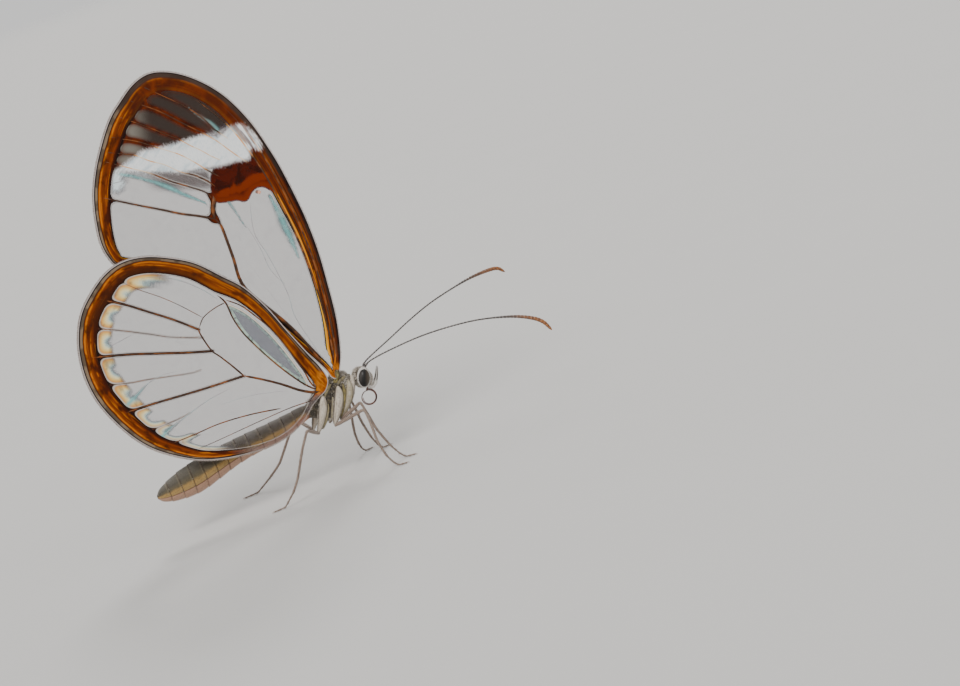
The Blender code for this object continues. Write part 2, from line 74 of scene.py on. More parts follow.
# ---- wings, as places (x, z) of the side view. A layer is how far out from the body's middle a wing
# lies. Round a rim, a band is (x, z, width), its costal table is 1 where the band is finished as a
# front edge and 0 where it is a margin, and its fringe table is how thick the row of scales is.
# Veins and creases are (x, z, radius), glints (x, z, reach), and bars half the amber's width along
# a vein.
FORE_LAYER = 0.5
HIND_LAYER = 1.48
FORE_HINGE = (0.75, 7.3)
FORE_HINGE_REACH = 3.2
FORE_SPREAD = 0.6
FORE_ROOT = (0.7, 7.5)
HIND_HINGE = (-0.75, 7.2)
HIND_HINGE_REACH = 4.0
HIND_SPREAD = 0.3
HIND_DRAWN_IN = 0.35
HIND_FLANK_TOP = 7.6
HIND_FLANK_DEPTH = 1.8
HIND_ROOT = (-0.35, 7.5)
ROOT_REACH = 1.5
FORE_OUTLINE = [
    (0.85, 7.5), (1.45, 8.4), (1.95, 9.7), (2.5, 12.1), (2.8, 14.8), (3.0, 17.3), (3.02, 19.4),
    (2.9, 21.5), (2.55, 24.5), (2.2, 26.4), (1.55, 28.9), (0.6, 31.1), (-0.5, 32.7), (-1.9, 34.05),
    (-3.3, 34.9), (-4.7, 35.25), (-6.1, 34.9), (-7.5, 34.0), (-8.8, 32.95), (-10.2, 31.2),
    (-11.3, 29.5), (-12.1, 27.8), (-12.6, 26.0), (-12.85, 24.3), (-12.7, 23.0), (-12.2, 22.1),
    (-10.6, 21.5), (-8.0, 20.4), (-5.5, 18.1), (-3.4, 15.2), (-1.9, 12.4), (-0.6, 10.0), (0.15, 8.5),
    (0.4, 7.7),
]
FORE_MIDDLE = (-4.0, 24.0)
FORE_BAND = [
    (0.85, 7.5, 0.6), (1.95, 9.7, 1.2), (2.8, 14.8, 1.15), (3.02, 19.4, 1.35), (2.9, 21.5, 1.5),
    (2.2, 26.4, 1.6), (0.6, 31.1, 1.4), (-1.9, 34.05, 1.4), (-4.7, 35.25, 1.6), (-7.5, 34.0, 1.6),
    (-10.2, 31.2, 1.5), (-11.3, 29.5, 1.35), (-12.1, 27.8, 1.35), (-12.85, 24.3, 1.15),
    (-12.2, 22.1, 0.85), (-10.6, 21.5, 0.55), (-8.0, 20.4, 0.5), (-3.4, 15.2, 0.45), (0.4, 7.7, 0.4),
]
FORE_COSTAL = [
    (0.85, 7.5, 1), (2.55, 24.5, 1), (-1.9, 34.05, 0.55), (-6.1, 34.9, 0.15), (-8.8, 32.95, 0),
    (-12.85, 24.3, 0), (-12.2, 22.1, 0.35), (-10.6, 21.5, 0.6), (0.4, 7.7, 0.6),
]
FORE_VEINS = {
    "cubitus": [
        (0.3, 8.6, 0.13), (-1.2, 12.6, 0.13), (-3.5, 16.8, 0.13), (-3.55, 19.6, 0.115),
        (-3.55, 22.2, 0.11), (-3.85, 22.85, 0.12),
    ],
    "end": [(-3.85, 22.85, 0.13), (-3.7, 23.6, 0.16), (-3.4, 24.2, 0.16), (-3.3, 24.6, 0.06)],
    "m3": [
        (-3.85, 22.85, 0.1), (-4.9, 23.5, 0.085), (-6.2, 24.2, 0.08), (-7.6, 25.1, 0.075),
        (-8.9, 25.9, 0.07), (-10.3, 26.8, 0.065), (-11.9, 27.6, 0.05),
    ],
    "b": [
        (-3.5, 24.5, 0.07), (-3.8, 25.1, 0.06), (-4.8, 25.9, 0.05), (-6.1, 26.9, 0.05),
        (-7.3, 28.0, 0.05), (-8.6, 28.9, 0.05), (-9.6, 29.6, 0.05), (-10.9, 30.2, 0.045),
    ],
    "a": [
        (-2.9, 25.2, 0.055), (-3.3, 25.8, 0.05), (-4.1, 26.6, 0.05), (-5.1, 27.3, 0.05),
        (-6.0, 28.2, 0.05), (-7.0, 28.9, 0.05), (-7.9, 29.7, 0.05), (-8.9, 30.2, 0.045),
        (-10.4, 31.0, 0.04),
    ],
    "c": [
        (-2.3, 25.8, 0.05), (-3.0, 26.6, 0.05), (-3.7, 27.5, 0.05), (-4.6, 28.5, 0.05),
        (-5.6, 29.3, 0.05), (-6.4, 29.9, 0.05), (-7.3, 30.6, 0.05), (-8.5, 31.3, 0.045),
        (-9.6, 32.0, 0.04),
    ],
    "d": [
        (-1.7, 26.9, 0.045), (-2.4, 27.6, 0.045), (-3.0, 28.3, 0.045), (-3.6, 28.9, 0.045),
        (-4.3, 29.7, 0.045), (-5.1, 30.4, 0.045), (-6.2, 31.4, 0.045), (-7.4, 32.4, 0.045),
        (-8.7, 33.1, 0.04),
    ],
    "e": [
        (0.3, 25.9, 0.06), (-0.1, 26.4, 0.055), (-0.8, 27.4, 0.05), (-1.6, 28.6, 0.05),
        (-2.4, 29.5, 0.05), (-3.7, 30.9, 0.05), (-4.9, 32.2, 0.05), (-6.2, 33.3, 0.045),
        (-7.2, 34.1, 0.04),
    ],
    "f": [
        (-0.5, 28.2, 0.04), (-1.3, 29.3, 0.045), (-1.9, 30.5, 0.045), (-2.6, 31.5, 0.045),
        (-3.5, 32.5, 0.045), (-4.6, 33.6, 0.04), (-5.6, 34.8, 0.035),
    ],
    "radius": [
        (1.05, 8.6, 0.1), (1.45, 11.0, 0.1), (1.78, 14.5, 0.1), (1.82, 18.0, 0.1), (1.6, 21.0, 0.09),
        (1.2, 24.2, 0.08), (0.5, 27.2, 0.07), (-0.4, 29.6, 0.06), (-2.0, 32.2, 0.05),
    ],
    "subcosta": [
        (1.25, 8.6, 0.09), (1.75, 11.0, 0.09), (2.2, 14.5, 0.09), (2.35, 18.0, 0.09),
        (2.2, 21.2, 0.085), (1.75, 24.8, 0.08), (1.1, 27.8, 0.07), (0.0, 30.6, 0.06),
        (-1.4, 33.0, 0.05),
    ],
}
FORE_BARS = {
    "a": 0.05, "c": 0.24, "d": 0.12, "e": 0.24, "f": 0.05, "b": 0.04, "m3": 0.05, "end": 0.2,
    "cubitus": 0.05,
}
FORE_CREASES = [
    [(-2.35, 23.7, 0.045), (-2.1, 22.6, 0.04), (-1.8, 21.3, 0.012)],
    [
        (-0.8, 23.0, 0.02), (-1.3, 20.7, 0.022), (-0.9, 18.6, 0.022), (-0.5, 15.3, 0.022),
        (-0.6, 13.3, 0.02), (0.2, 9.7, 0.012),
    ],
    [(-1.7, 21.6, 0.012), (-1.3, 19.6, 0.016), (-1.1, 17.4, 0.016), (-0.2, 15.6, 0.01)],
    [(-10.4, 28.3, 0.05), (-9.7, 28.2, 0.035), (-9.0, 28.1, 0.01)],
]
FORE_WHITE = [
    (-9.9, 28.95), (-9.1, 29.45), (-7.9, 29.75), (-7.2, 29.95), (-6.4, 29.8), (-4.7, 29.6),
    (-3.35, 29.55), (-2.4, 29.45), (-1.45, 29.0), (-0.85, 29.02), (-0.3, 29.25), (0.35, 29.25),
    (1.0, 29.0), (1.42, 28.25), (1.73, 27.45), (1.8, 26.7), (1.35, 26.5), (0.9, 26.85), (0.5, 26.2),
    (-0.1, 26.2), (-0.8, 26.35), (-1.85, 26.4), (-2.8, 26.6), (-3.8, 26.8), (-5.05, 27.05),
    (-6.1, 27.45), (-7.0, 27.8), (-7.9, 28.15), (-9.0, 28.6),
]
FORE_PATCH = [
    (-3.2, 25.4), (-2.85, 26.2), (-2.1, 26.75), (-0.9, 26.7), (0.1, 26.6), (0.6, 26.8), (1.2, 26.95),
    (1.8, 26.4), (1.95, 24.8), (1.6, 23.0), (1.25, 23.15), (0.75, 23.75), (0.2, 23.95), (-0.35, 23.75),
    (-0.8, 23.35), (-1.2, 23.3), (-1.7, 23.6), (-2.3, 23.7), (-3.2, 24.0), (-3.4, 24.5),
]
FORE_TEAL = [
    [
        (-9.5, 28.75, 0.1), (-8.6, 28.2, 0.12), (-7.2, 27.2, 0.14), (-6.25, 26.35, 0.19),
        (-5.35, 25.45, 0.15), (-4.1, 24.3, 0.05),
    ],
    [(0.85, 23.0, 0.08), (1.05, 21.9, 0.2), (1.15, 20.5, 0.28), (1.25, 19.2, 0.22), (1.3, 17.6, 0.06)],
    [(-2.35, 23.8, 0.1), (-2.1, 22.8, 0.07), (-1.8, 21.4, 0.02)],
    [(-2.8, 31.85, 0.02), (-2.4, 31.2, 0.04), (-1.9, 30.5, 0.09), (-1.5, 29.95, 0.12), (-1.2, 29.3, 0.16)],
]
FORE_FROST = [
    (-10.6, 29.1), (-9.6, 29.5), (-8.6, 29.0), (-7.8, 28.4), (-6.9, 27.65), (-7.5, 27.7), (-8.4, 28.2),
    (-9.2, 28.4), (-9.15, 27.95), (-9.5, 27.6), (-10.1, 27.3), (-10.7, 27.6), (-10.8, 28.5),
]
FORE_FRINGE = [
    (0.85, 7.5, 0.0), (1.95, 9.7, 0.3), (2.9, 21.5, 0.35), (0.6, 31.1, 0.4), (-4.7, 35.25, 0.6),
    (-7.5, 34.0, 0.95), (-12.1, 27.8, 1.0), (-12.7, 23.0, 1.0), (-10.6, 21.5, 0.6), (0.15, 8.5, 0.2),
]

HIND_OUTLINE = [
    (-0.05, 7.9), (-0.3, 9.1), (-0.8, 10.3), (-1.7, 12.6), (-2.6, 15.0), (-3.7, 17.1), (-5.0, 18.6),
    (-6.6, 20.3), (-8.3, 21.4), (-10.1, 22.2), (-11.9, 22.45), (-13.5, 22.05), (-15.1, 21.0),
    (-16.4, 19.7), (-17.3, 17.9), (-17.75, 15.9), (-17.75, 13.9), (-17.3, 12.0), (-16.3, 9.8),
    (-15.1, 8.1), (-13.6, 6.8), (-11.8, 5.7), (-9.9, 5.05), (-7.9, 4.7), (-6.0, 4.6), (-4.3, 4.9),
    (-3.0, 5.5), (-2.0, 6.3), (-1.2, 6.75), (-0.5, 7.1),
]
HIND_MIDDLE = (-9.0, 12.8)
HIND_BAND = [
    (-0.05, 7.9, 1.15), (-0.3, 9.1, 1.2), (-0.8, 10.3, 1.1), (-1.7, 12.6, 0.9), (-2.6, 15.0, 1.0),
    (-3.7, 17.1, 1.2), (-5.0, 18.6, 1.4), (-8.3, 21.4, 1.3), (-11.9, 22.45, 1.3), (-14.3, 21.6, 1.5),
    (-16.4, 19.7, 1.5), (-17.75, 15.9, 1.45), (-17.3, 12.0, 1.5), (-16.3, 9.8, 1.4), (-15.1, 8.1, 1.25),
    (-13.6, 6.8, 1.05), (-11.8, 5.7, 0.8), (-9.9, 5.05, 0.65), (-7.9, 4.7, 0.45), (-4.3, 4.9, 0.3),
    (-2.0, 6.3, 0.3), (-1.2, 6.75, 0.5), (-0.5, 7.1, 1.2),
]
HIND_COSTAL = [
    (-0.05, 7.9, 0.45), (-5.0, 18.6, 0.45), (-11.9, 22.45, 0.1), (-14.3, 21.6, 0), (-9.9, 5.05, 0),
    (-0.5, 7.1, 0.3),
]
HIND_VEINS = {
    "radius": [
        (-1.0, 7.35, 0.08), (-1.4, 7.6, 0.09), (-1.75, 7.95, 0.09), (-2.2, 8.5, 0.09),
        (-3.0, 9.7, 0.085), (-3.8, 11.1, 0.08), (-4.5, 12.5, 0.08), (-5.1, 13.9, 0.08),
        (-5.4, 15.2, 0.08), (-5.5, 16.5, 0.09), (-5.9, 17.3, 0.05),
    ],
    "humeral": [
        (-0.9, 7.5, 0.08), (-1.3, 7.75, 0.085), (-1.5, 8.3, 0.085), (-1.6, 9.1, 0.085),
        (-1.9, 10.2, 0.08), (-2.3, 11.7, 0.075), (-2.9, 13.3, 0.07), (-3.7, 14.7, 0.065),
        (-4.5, 15.9, 0.06), (-5.4, 16.7, 0.06),
    ],
    "front": [(-5.5, 16.55, 0.06), (-6.4, 16.45, 0.05), (-7.5, 16.1, 0.05), (-8.1, 15.5, 0.06)],
    "end": [
        (-8.1, 15.5, 0.06), (-8.25, 15.1, 0.08), (-7.9, 13.5, 0.08), (-7.4, 12.7, 0.08),
        (-6.8, 11.7, 0.085), (-6.2, 10.6, 0.1),
    ],
    "cubitus": [
        (-6.2, 10.6, 0.11), (-5.1, 9.9, 0.11), (-3.7, 8.9, 0.12), (-2.5, 7.9, 0.13), (-1.6, 7.35, 0.14),
        (-0.9, 7.15, 0.12),
    ],
    "m1": [
        (-8.2, 15.3, 0.08), (-9.7, 16.7, 0.065), (-11.3, 18.0, 0.065), (-12.8, 19.2, 0.065),
        (-14.0, 20.0, 0.07), (-15.6, 20.8, 0.05),
    ],
    "rs": [
        (-7.6, 16.1, 0.04), (-8.9, 17.6, 0.035), (-10.1, 18.8, 0.035), (-11.4, 19.9, 0.035),
        (-12.3, 20.8, 0.035), (-13.0, 21.6, 0.03),
    ],
    "m2": [
        (-8.15, 14.6, 0.035), (-10.5, 15.6, 0.03), (-11.9, 16.4, 0.035), (-14.3, 17.7, 0.04),
        (-16.0, 18.5, 0.045), (-17.0, 18.9, 0.03),
    ],
    "cu1": [
        (-7.8, 13.35, 0.09), (-9.5, 13.9, 0.075), (-11.7, 14.7, 0.07), (-13.9, 15.5, 0.07),
        (-16.2, 16.2, 0.075), (-17.5, 16.6, 0.05),
    ],
    "m3": [
        (-9.2, 12.3, 0.015), (-10.2, 12.4, 0.02), (-13.1, 13.1, 0.028), (-14.6, 13.4, 0.035),
        (-16.2, 13.85, 0.04), (-17.6, 14.1, 0.03),
    ],
    "cu2": [
        (-6.2, 10.6, 0.1), (-9.8, 10.85, 0.08), (-13.4, 11.2, 0.07), (-15.4, 11.35, 0.075),
        (-17.1, 11.6, 0.05),
    ],
    "x": [
        (-11.2, 9.45, 0.015), (-12.5, 9.35, 0.025), (-14.0, 9.35, 0.035), (-15.0, 9.4, 0.04),
        (-16.1, 9.5, 0.03),
    ],
    "a2": [
        (-0.9, 7.0, 0.07), (-1.8, 6.87, 0.08), (-4.4, 7.1, 0.07), (-6.8, 7.55, 0.065),
        (-9.3, 7.8, 0.06), (-11.4, 7.75, 0.06), (-13.4, 7.75, 0.06), (-14.7, 7.8, 0.04),
    ],
    "a3": [
        (-1.1, 6.8, 0.04), (-1.8, 6.75, 0.05), (-3.6, 6.85, 0.045), (-5.8, 6.8, 0.04),
        (-8.0, 6.7, 0.035), (-10.1, 6.6, 0.035), (-12.2, 6.55, 0.03),
    ],
}
HIND_BARS = {"m1": 0.08, "m2": 0.02, "cu1": 0.09, "m3": 0.0, "cu2": 0.08, "x": 0.0, "a2": -0.1, "rs": -0.12}
HIND_CREASES = [
    [(-13.0, 16.9, 0.012), (-14.2, 16.75, 0.03), (-15.4, 16.6, 0.02)],
    [(-11.0, 12.9, 0.01), (-12.2, 13.05, 0.025), (-13.6, 12.8, 0.05), (-15.4, 11.95, 0.02)],
    [(-7.5, 10.1, 0.015), (-9.3, 9.9, 0.03), (-11.2, 9.45, 0.045), (-12.9, 8.9, 0.06), (-14.0, 8.45, 0.03)],
    [(-3.4, 8.2, 0.012), (-6.0, 8.9, 0.015), (-9.0, 9.2, 0.01)],
    [(-11.6, 20.9, 0.02), (-9.8, 20.35, 0.03), (-8.3, 19.5, 0.035), (-6.9, 18.2, 0.03), (-6.0, 17.0, 0.02)],
]
HIND_TEAL = [
    [(-15.4, 11.95, 0.2), (-14.6, 12.3, 0.12), (-13.6, 12.8, 0.03)],
    [(-14.2, 8.4, 0.2), (-13.4, 8.75, 0.14), (-12.2, 9.15, 0.03)],
]
HIND_LENS = [
    (-5.42, 16.3), (-4.6, 15.6), (-3.9, 14.6), (-3.1, 13.0), (-2.5, 11.4), (-2.05, 9.9), (-1.75, 8.6),
    (-1.8, 7.9), (-2.3, 8.55), (-3.1, 9.75), (-3.9, 11.1), (-4.6, 12.5), (-5.15, 13.9), (-5.42, 15.2),
]
HIND_FRINGE = [
    (-0.05, 7.9, 0.1), (-1.7, 12.6, 0.3), (-6.6, 20.3, 0.4), (-11.9, 22.45, 0.7), (-15.1, 21.0, 1.0),
    (-17.75, 13.9, 1.0), (-11.8, 5.7, 1.0), (-6.0, 4.6, 0.8), (-2.0, 6.3, 0.4),
]

# Veins that run out across the band to the rim, and those with a wide bar in the tip alone.
NET = {"m1", "m2", "m3", "cu1", "cu2", "x", "a2", "a", "b", "c", "d", "e", "f"}
TIP_BARS = "cde"
THIN_BAR = 0.05
RIM_VEIN = 0.075
HIND_VEIN_SHARE = 0.8

RINGS = 76
AROUND = 440
VEIN_SIDES = 8
HALF_FILM = 0.022
HALF_BAND = 0.035
RIPPLE = 0.035
FRINGE_COUNT = 4200

# Colours of the band's dark lines, of its pale outermost line and of the film's haze.
INK = (0.01, 0.004, 0.003)
RIM_LINE = (0.34, 0.29, 0.27)
HAZE = (0.2, 0.18, 0.21)

# ---- body: stations of (x, height of the middle, half height, half width)
BODY = [
    (3.62, 6.55, 0.1, 0.1), (3.5, 6.58, 0.42, 0.34), (3.2, 6.66, 0.74, 0.5), (2.75, 6.74, 0.86, 0.56),
    (2.35, 6.76, 0.74, 0.5), (2.05, 6.76, 0.46, 0.4), (1.85, 6.78, 0.5, 0.46), (1.55, 6.8, 0.9, 0.78),
    (1.1, 6.6, 1.22, 1.0), (0.45, 6.33, 1.47, 1.14), (-0.55, 6.08, 1.47, 1.14),
    (-1.3, 5.93, 1.14, 0.98), (-1.9, 5.84, 0.78, 0.72), (-2.3, 5.79, 0.56, 0.52),
    (-2.7, 5.75, 0.62, 0.58), (-3.3, 5.64, 0.68, 0.64), (-4.6, 5.36, 0.84, 0.82), (-6.0, 5.2, 0.9, 0.9),
    (-7.6, 5.1, 0.93, 0.95), (-9.2, 4.9, 1.02, 1.0), (-10.8, 4.6, 1.17, 1.07), (-12.3, 4.3, 1.24, 1.11),
    (-13.6, 4.13, 1.12, 1.02), (-14.8, 4.0, 0.82, 0.76), (-15.5, 3.95, 0.5, 0.46),
    (-15.84, 3.93, 0.14, 0.12),
]
ABDOMEN_FRONT = -2.5
ABDOMEN_BACK = -15.85
SEGMENTS = 13
BODY_RINGS = 620
BODY_SIDES = 96
PLATE_RINGS = 44
PLATE_SIDES = 28
PLATE_SCALES = 330
# The coat's stretches: step of the seed, count, x from and to, turn from and to in degrees, length as
# a share of the hair's, half width, lift, lightness, and whether it lies towards the tail (1) or the
# face (-1).
COATS = {
    "coat_chest": [
        (1, 5200, -2.2, 1.9, 0, 360, 0.6, 0.014, 0.35, 0.2, 1),
        (2, 1100, -1.4, 1.6, 40, 140, 0.8, 0.014, 0.7, 0.85, 1),
        (3, 900, 1.0, 1.8, 25, 155, 0.85, 0.014, 0.9, 1.0, 1),
        (9, 1300, 1.1, 1.9, 150, 390, 0.8, 0.015, 0.7, 0.85, 1),
    ],
    "coat_head": [
        (4, 900, 2.02, 2.4, 0, 360, 0.5, 0.013, 0.6, 0.95, 1),
        (5, 1100, 3.0, 3.6, 0, 360, 0.4, 0.013, 0.8, 0.85, -1),
        (6, 320, 2.4, 3.2, 50, 130, 0.7, 0.014, 1.1, 0.9, 1),
        (7, 420, 2.4, 3.4, -140, -40, 0.6, 0.016, 1.0, 1.0, 1),
    ],
    "coat_hind_body": [(8, 5200, -15.7, -2.3, 0, 360, 0.5, 0.018, 0.1, 0.25, 1)],
}
# Side plates and coxae: (x, y outwards, z, half width, half thickness) from the top down.
PLATES = {
    "collar": [
        (1.95, 0.42, 7.3, 0.12, 0.14), (1.85, 0.66, 6.9, 0.2, 0.18), (1.62, 0.8, 6.3, 0.2, 0.18),
        (1.3, 0.82, 5.7, 0.16, 0.16), (0.9, 0.8, 5.2, 0.06, 0.07),
    ],
    "fore": [
        (1.55, 0.72, 7.1, 0.1, 0.12), (1.4, 0.92, 6.5, 0.3, 0.2), (1.05, 1.02, 5.8, 0.35, 0.24),
        (0.52, 0.98, 5.1, 0.28, 0.24), (0.06, 0.84, 4.5, 0.16, 0.17), (-0.1, 0.76, 4.28, 0.06, 0.07),
    ],
    "fore_back": [
        (1.02, 0.94, 7.0, 0.07, 0.09), (0.88, 1.08, 6.4, 0.17, 0.15), (0.56, 1.14, 5.7, 0.18, 0.16),
        (0.15, 1.07, 5.0, 0.15, 0.15), (-0.17, 0.9, 4.45, 0.05, 0.06),
    ],
    "mid": [
        (0.55, 0.96, 7.0, 0.12, 0.12), (0.4, 1.17, 6.4, 0.36, 0.21), (0.06, 1.26, 5.65, 0.42, 0.25),
        (-0.35, 1.22, 4.93, 0.32, 0.24), (-0.67, 1.14, 4.35, 0.18, 0.18),
        (-0.76, 1.1, 4.08, 0.07, 0.08),
    ],
    "mid_back": [
        (-0.1, 1.02, 6.5, 0.05, 0.07), (-0.3, 1.16, 5.9, 0.12, 0.12), (-0.6, 1.18, 5.2, 0.13, 0.13),
        (-0.85, 1.12, 4.7, 0.05, 0.06),
    ],
    "hind": [
        (-0.85, 1.0, 6.8, 0.12, 0.12), (-1.05, 1.18, 6.2, 0.34, 0.22), (-1.35, 1.2, 5.5, 0.37, 0.24),
        (-1.75, 1.16, 4.8, 0.28, 0.22), (-2.1, 1.08, 4.25, 0.16, 0.16), (-2.22, 1.05, 3.98, 0.06, 0.07),
    ],
    "shoulder": [
        (1.42, 0.62, 7.4, 0.07, 0.09), (1.2, 0.82, 7.38, 0.15, 0.14), (0.85, 0.95, 7.25, 0.13, 0.12),
        (0.6, 0.98, 7.05, 0.04, 0.06),
    ],
    "hinge": [
        (0.1, 0.85, 7.3, 0.07, 0.09), (-0.2, 1.02, 7.12, 0.16, 0.14), (-0.55, 1.1, 6.8, 0.14, 0.12),
        (-0.8, 1.1, 6.5, 0.04, 0.06),
    ],
    "fore_root": [
        (0.42, 0.5, 6.95, 0.3, 0.2), (0.62, 0.78, 7.35, 0.3, 0.18), (0.8, 0.96, 7.75, 0.24, 0.11),
        (0.95, 1.0, 8.2, 0.1, 0.05),
    ],
    "hind_root": [
        (-0.5, 0.6, 6.85, 0.3, 0.2), (-0.6, 0.86, 7.1, 0.3, 0.18), (-0.68, 1.04, 7.4, 0.24, 0.12),
        (-0.8, 1.1, 7.8, 0.1, 0.05),
    ],
    "hind_front": [
        (-0.62, 1.02, 6.1, 0.05, 0.06), (-0.92, 1.12, 5.4, 0.13, 0.13), (-1.35, 1.12, 4.75, 0.14, 0.14),
        (-1.82, 1.06, 4.2, 0.07, 0.08),
    ],
}
# How olive each plate is, between cream and dark olive.
TONES = {
    "fore_root": 1.0, "hind_root": 1.0, "shoulder": 0.85, "hinge": 0.9, "fore": 0.45, "fore_back": 1.0,
    "mid_back": 0.7, "hind_front": 0.75,
}

# ---- head parts: the eye's middle, its half sizes along x, y and z, and how it leans
EYE_AT = (2.82, 0.58, 6.72)
EYE_SIZE = (0.49, 0.52, 0.76)
EYE_LEAN = math.radians(18.0)
# Rows of white scales round the eye: how far up the dome, and how far off it, each row is.
EYE_SCALES = 2400
EYE_ROWS = np.array([17.0, 8.0, -2.0, -11.0, -20.0])
EYE_SWELL = np.array([0.0, 0.02, 0.05, 0.07, 0.08])

# ---- legs: (x, y outwards, z) joints of coxa tip, knee, heel, then the tarsus to the claws
LEGS = {
    "leg_fore_right": [
        (-0.1, 0.74, 4.33), (1.0, 1.9, 4.95), (1.6, 2.2, 5.28), (1.8, 2.45, 4.2), (1.98, 2.8, 2.85),
        (2.5, 3.15, 1.35), (2.95, 3.4, 0.5), (3.3, 3.6, 0.12), (4.0, 3.9, 0.08),
    ],
    "leg_fore_left": [
        (-0.1, 0.74, 4.33), (1.0, 1.8, 4.95), (1.58, 2.0, 5.2), (1.75, 2.2, 4.2), (1.9, 2.5, 2.85),
        (2.25, 2.8, 1.35), (2.6, 3.0, 0.5), (2.95, 3.15, 0.12), (3.6, 3.4, 0.08),
    ],
    "leg_mid_right": [
        (-0.76, 1.1, 4.1), (0.6, 2.9, 4.65), (1.43, 3.8, 4.93), (1.45, 4.35, 3.9), (1.35, 4.95, 2.4),
        (1.6, 5.2, 1.1), (1.9, 5.4, 0.45), (2.2, 5.55, 0.12), (2.85, 5.7, 0.08),
    ],
    "leg_mid_left": [
        (-0.76, 1.1, 4.1), (0.8, 2.9, 4.6), (1.72, 3.7, 4.75), (1.55, 4.0, 3.5), (1.3, 4.2, 1.9),
        (1.35, 4.4, 0.9), (1.5, 4.55, 0.4), (1.75, 4.7, 0.12), (2.35, 4.95, 0.08),
    ],
    "leg_hind_right": [
        (-2.2, 1.05, 4.0), (-3.0, 3.0, 4.75), (-3.43, 3.93, 5.08), (-4.3, 4.1, 3.9), (-5.45, 4.15, 1.9),
        (-6.1, 4.1, 1.05), (-6.7, 4.05, 0.5), (-7.15, 4.0, 0.12), (-8.05, 3.9, 0.08),
    ],
    "leg_hind_left": [
        (-2.2, 1.05, 4.0), (-2.75, 3.1, 4.7), (-2.95, 4.08, 4.88), (-3.9, 4.7, 3.5), (-5.2, 5.2, 1.75),
        (-6.2, 5.4, 1.0), (-7.1, 5.5, 0.45), (-7.7, 5.55, 0.12), (-8.8, 5.65, 0.08),
    ],
}
# Leg thickness: (share of the way along, radius), knee at 0.3 and heel at 0.63.
LEG_GIRTH = [
    (0.0, 0.11), (0.05, 0.145), (0.15, 0.155), (0.27, 0.125), (0.3, 0.115), (0.33, 0.1), (0.45, 0.108),
    (0.6, 0.096), (0.63, 0.105), (0.66, 0.075), (0.95, 0.062), (1.0, 0.05),
]
LEG_STEPS = 260
LEG_SIDES = 20
CLAW_STEPS = 14
WHOLE_TURN = 6.2832

# ---- feelers, palps and drinking tube: (x, y outwards, z) down a middle line, and girths as
# (share of the way along, radius)
ANTENNAE = {
    "antenna_right": [
        (3.2, 0.3, 7.35), (3.4, 0.42, 7.6), (3.95, 0.6, 7.84), (5.5, 1.08, 8.1), (8.0, 1.8, 8.32),
        (10.5, 2.5, 8.27), (12.8, 3.1, 8.0), (15.1, 3.7, 7.4), (16.5, 4.1, 6.78), (17.3, 4.35, 6.15),
        (17.72, 4.56, 5.3),
    ],
    "antenna_left": [
        (3.2, 0.3, 7.35), (3.42, 0.42, 7.62), (4.1, 0.64, 7.92), (6.3, 1.37, 8.58), (8.5, 2.05, 9.27),
        (10.6, 2.67, 9.8), (12.7, 3.2, 10.14), (14.7, 3.8, 10.33), (16.4, 4.25, 10.3),
        (17.3, 4.45, 10.12), (17.82, 4.61, 9.62),
    ],
}
ANTENNA_GIRTH = [
    (0.0, 0.1), (0.03, 0.085), (0.06, 0.062), (0.6, 0.066), (0.72, 0.085), (0.85, 0.14), (0.93, 0.155),
    (0.98, 0.12), (1.0, 0.05),
]
PALP = [
    (2.95, 0.3, 5.95), (3.2, 0.36, 5.72), (3.55, 0.36, 5.84), (3.82, 0.32, 6.2), (4.05, 0.27, 6.65),
    (4.25, 0.22, 7.1),
]
PALP_GIRTH = [(0.0, 0.08), (0.15, 0.11), (0.4, 0.1), (0.6, 0.085), (0.8, 0.06), (0.95, 0.03), (1.0, 0.012)]
# The coil's middle (x, z), its first and last angle in degrees, its reach and its radius at both.
COIL_AT = (2.77, 5.0)
COIL_TURNS = (88.0, -560.0)
COIL_RADII = (0.66, 0.5)
COIL_GIRTH = (0.056, 0.03)
COIL_ROOT = (3.05, 0.03, 5.8)
PALP_STEPS = 70
COIL_STEPS = 300
ANTENNA_STEPS = 420
ANTENNA_SIDES = 18

# ---- stage: the floor's reach, its rings, and the lamps' places, widths and strengths
FLOOR_REACH = 9000.0
FLOOR_RINGS = 60
FLOOR_SIDES = 120
SKY_STRENGTH = 0.85
LAMPS = {"key": ((-130, -190, 250), 28, 2.0), "back": ((90, 240, 200), 16, 1.1)}
LAMP_COLOUR = (1.0, 0.98, 0.95)


# ---------------------------------------------------------------- shader expressions
class Value:
    """A socket of a material's nodes. Sums and products of values add the Math nodes they need."""

    def __init__(self, finish, socket):
        self.finish = finish
        self.socket = socket

    def _math(self, operation, *items):
        return self.finish.add("ShaderNodeMath", {"operation": operation}, dict(enumerate(items)))

    def __add__(self, other):
        return self._math("ADD", self, other)

    def __radd__(self, other):
        return self._math("ADD", other, self)

    def __sub__(self, other):
        return self._math("SUBTRACT", self, other)

    def __rsub__(self, other):
        return self._math("SUBTRACT", other, self)

    def __mul__(self, other):
        return self._math("MULTIPLY", self, other)

    def __rmul__(self, other):
        return self._math("MULTIPLY", other, self)

    def wave(self):
        return self._math("SINE", self)

    def size(self):
        return self._math("ABSOLUTE", self)

    def either(self, other):
        return self._math("MAXIMUM", self, other)

    def both(self, other):
        return self._math("MINIMUM", self, other)

    def rise(self, low, high):
        """0 below low and 1 above high, or the other way round where low is the larger."""
        settings = {"interpolation_type": "SMOOTHSTEP"}
        ends = (low, high, 0.0, 1.0) if low < high else (high, low, 1.0, 0.0)
        names = ("From Min", "From Max", "To Min", "To Max")
        return self.finish.add("ShaderNodeMapRange", settings, {"Value": self, **dict(zip(names, ends))})

    def line(self, middle, half):
        """1 on a line where the value is middle, falling to 0 at half to each side."""
        return (self - middle).size().rise(half, half * 0.35)


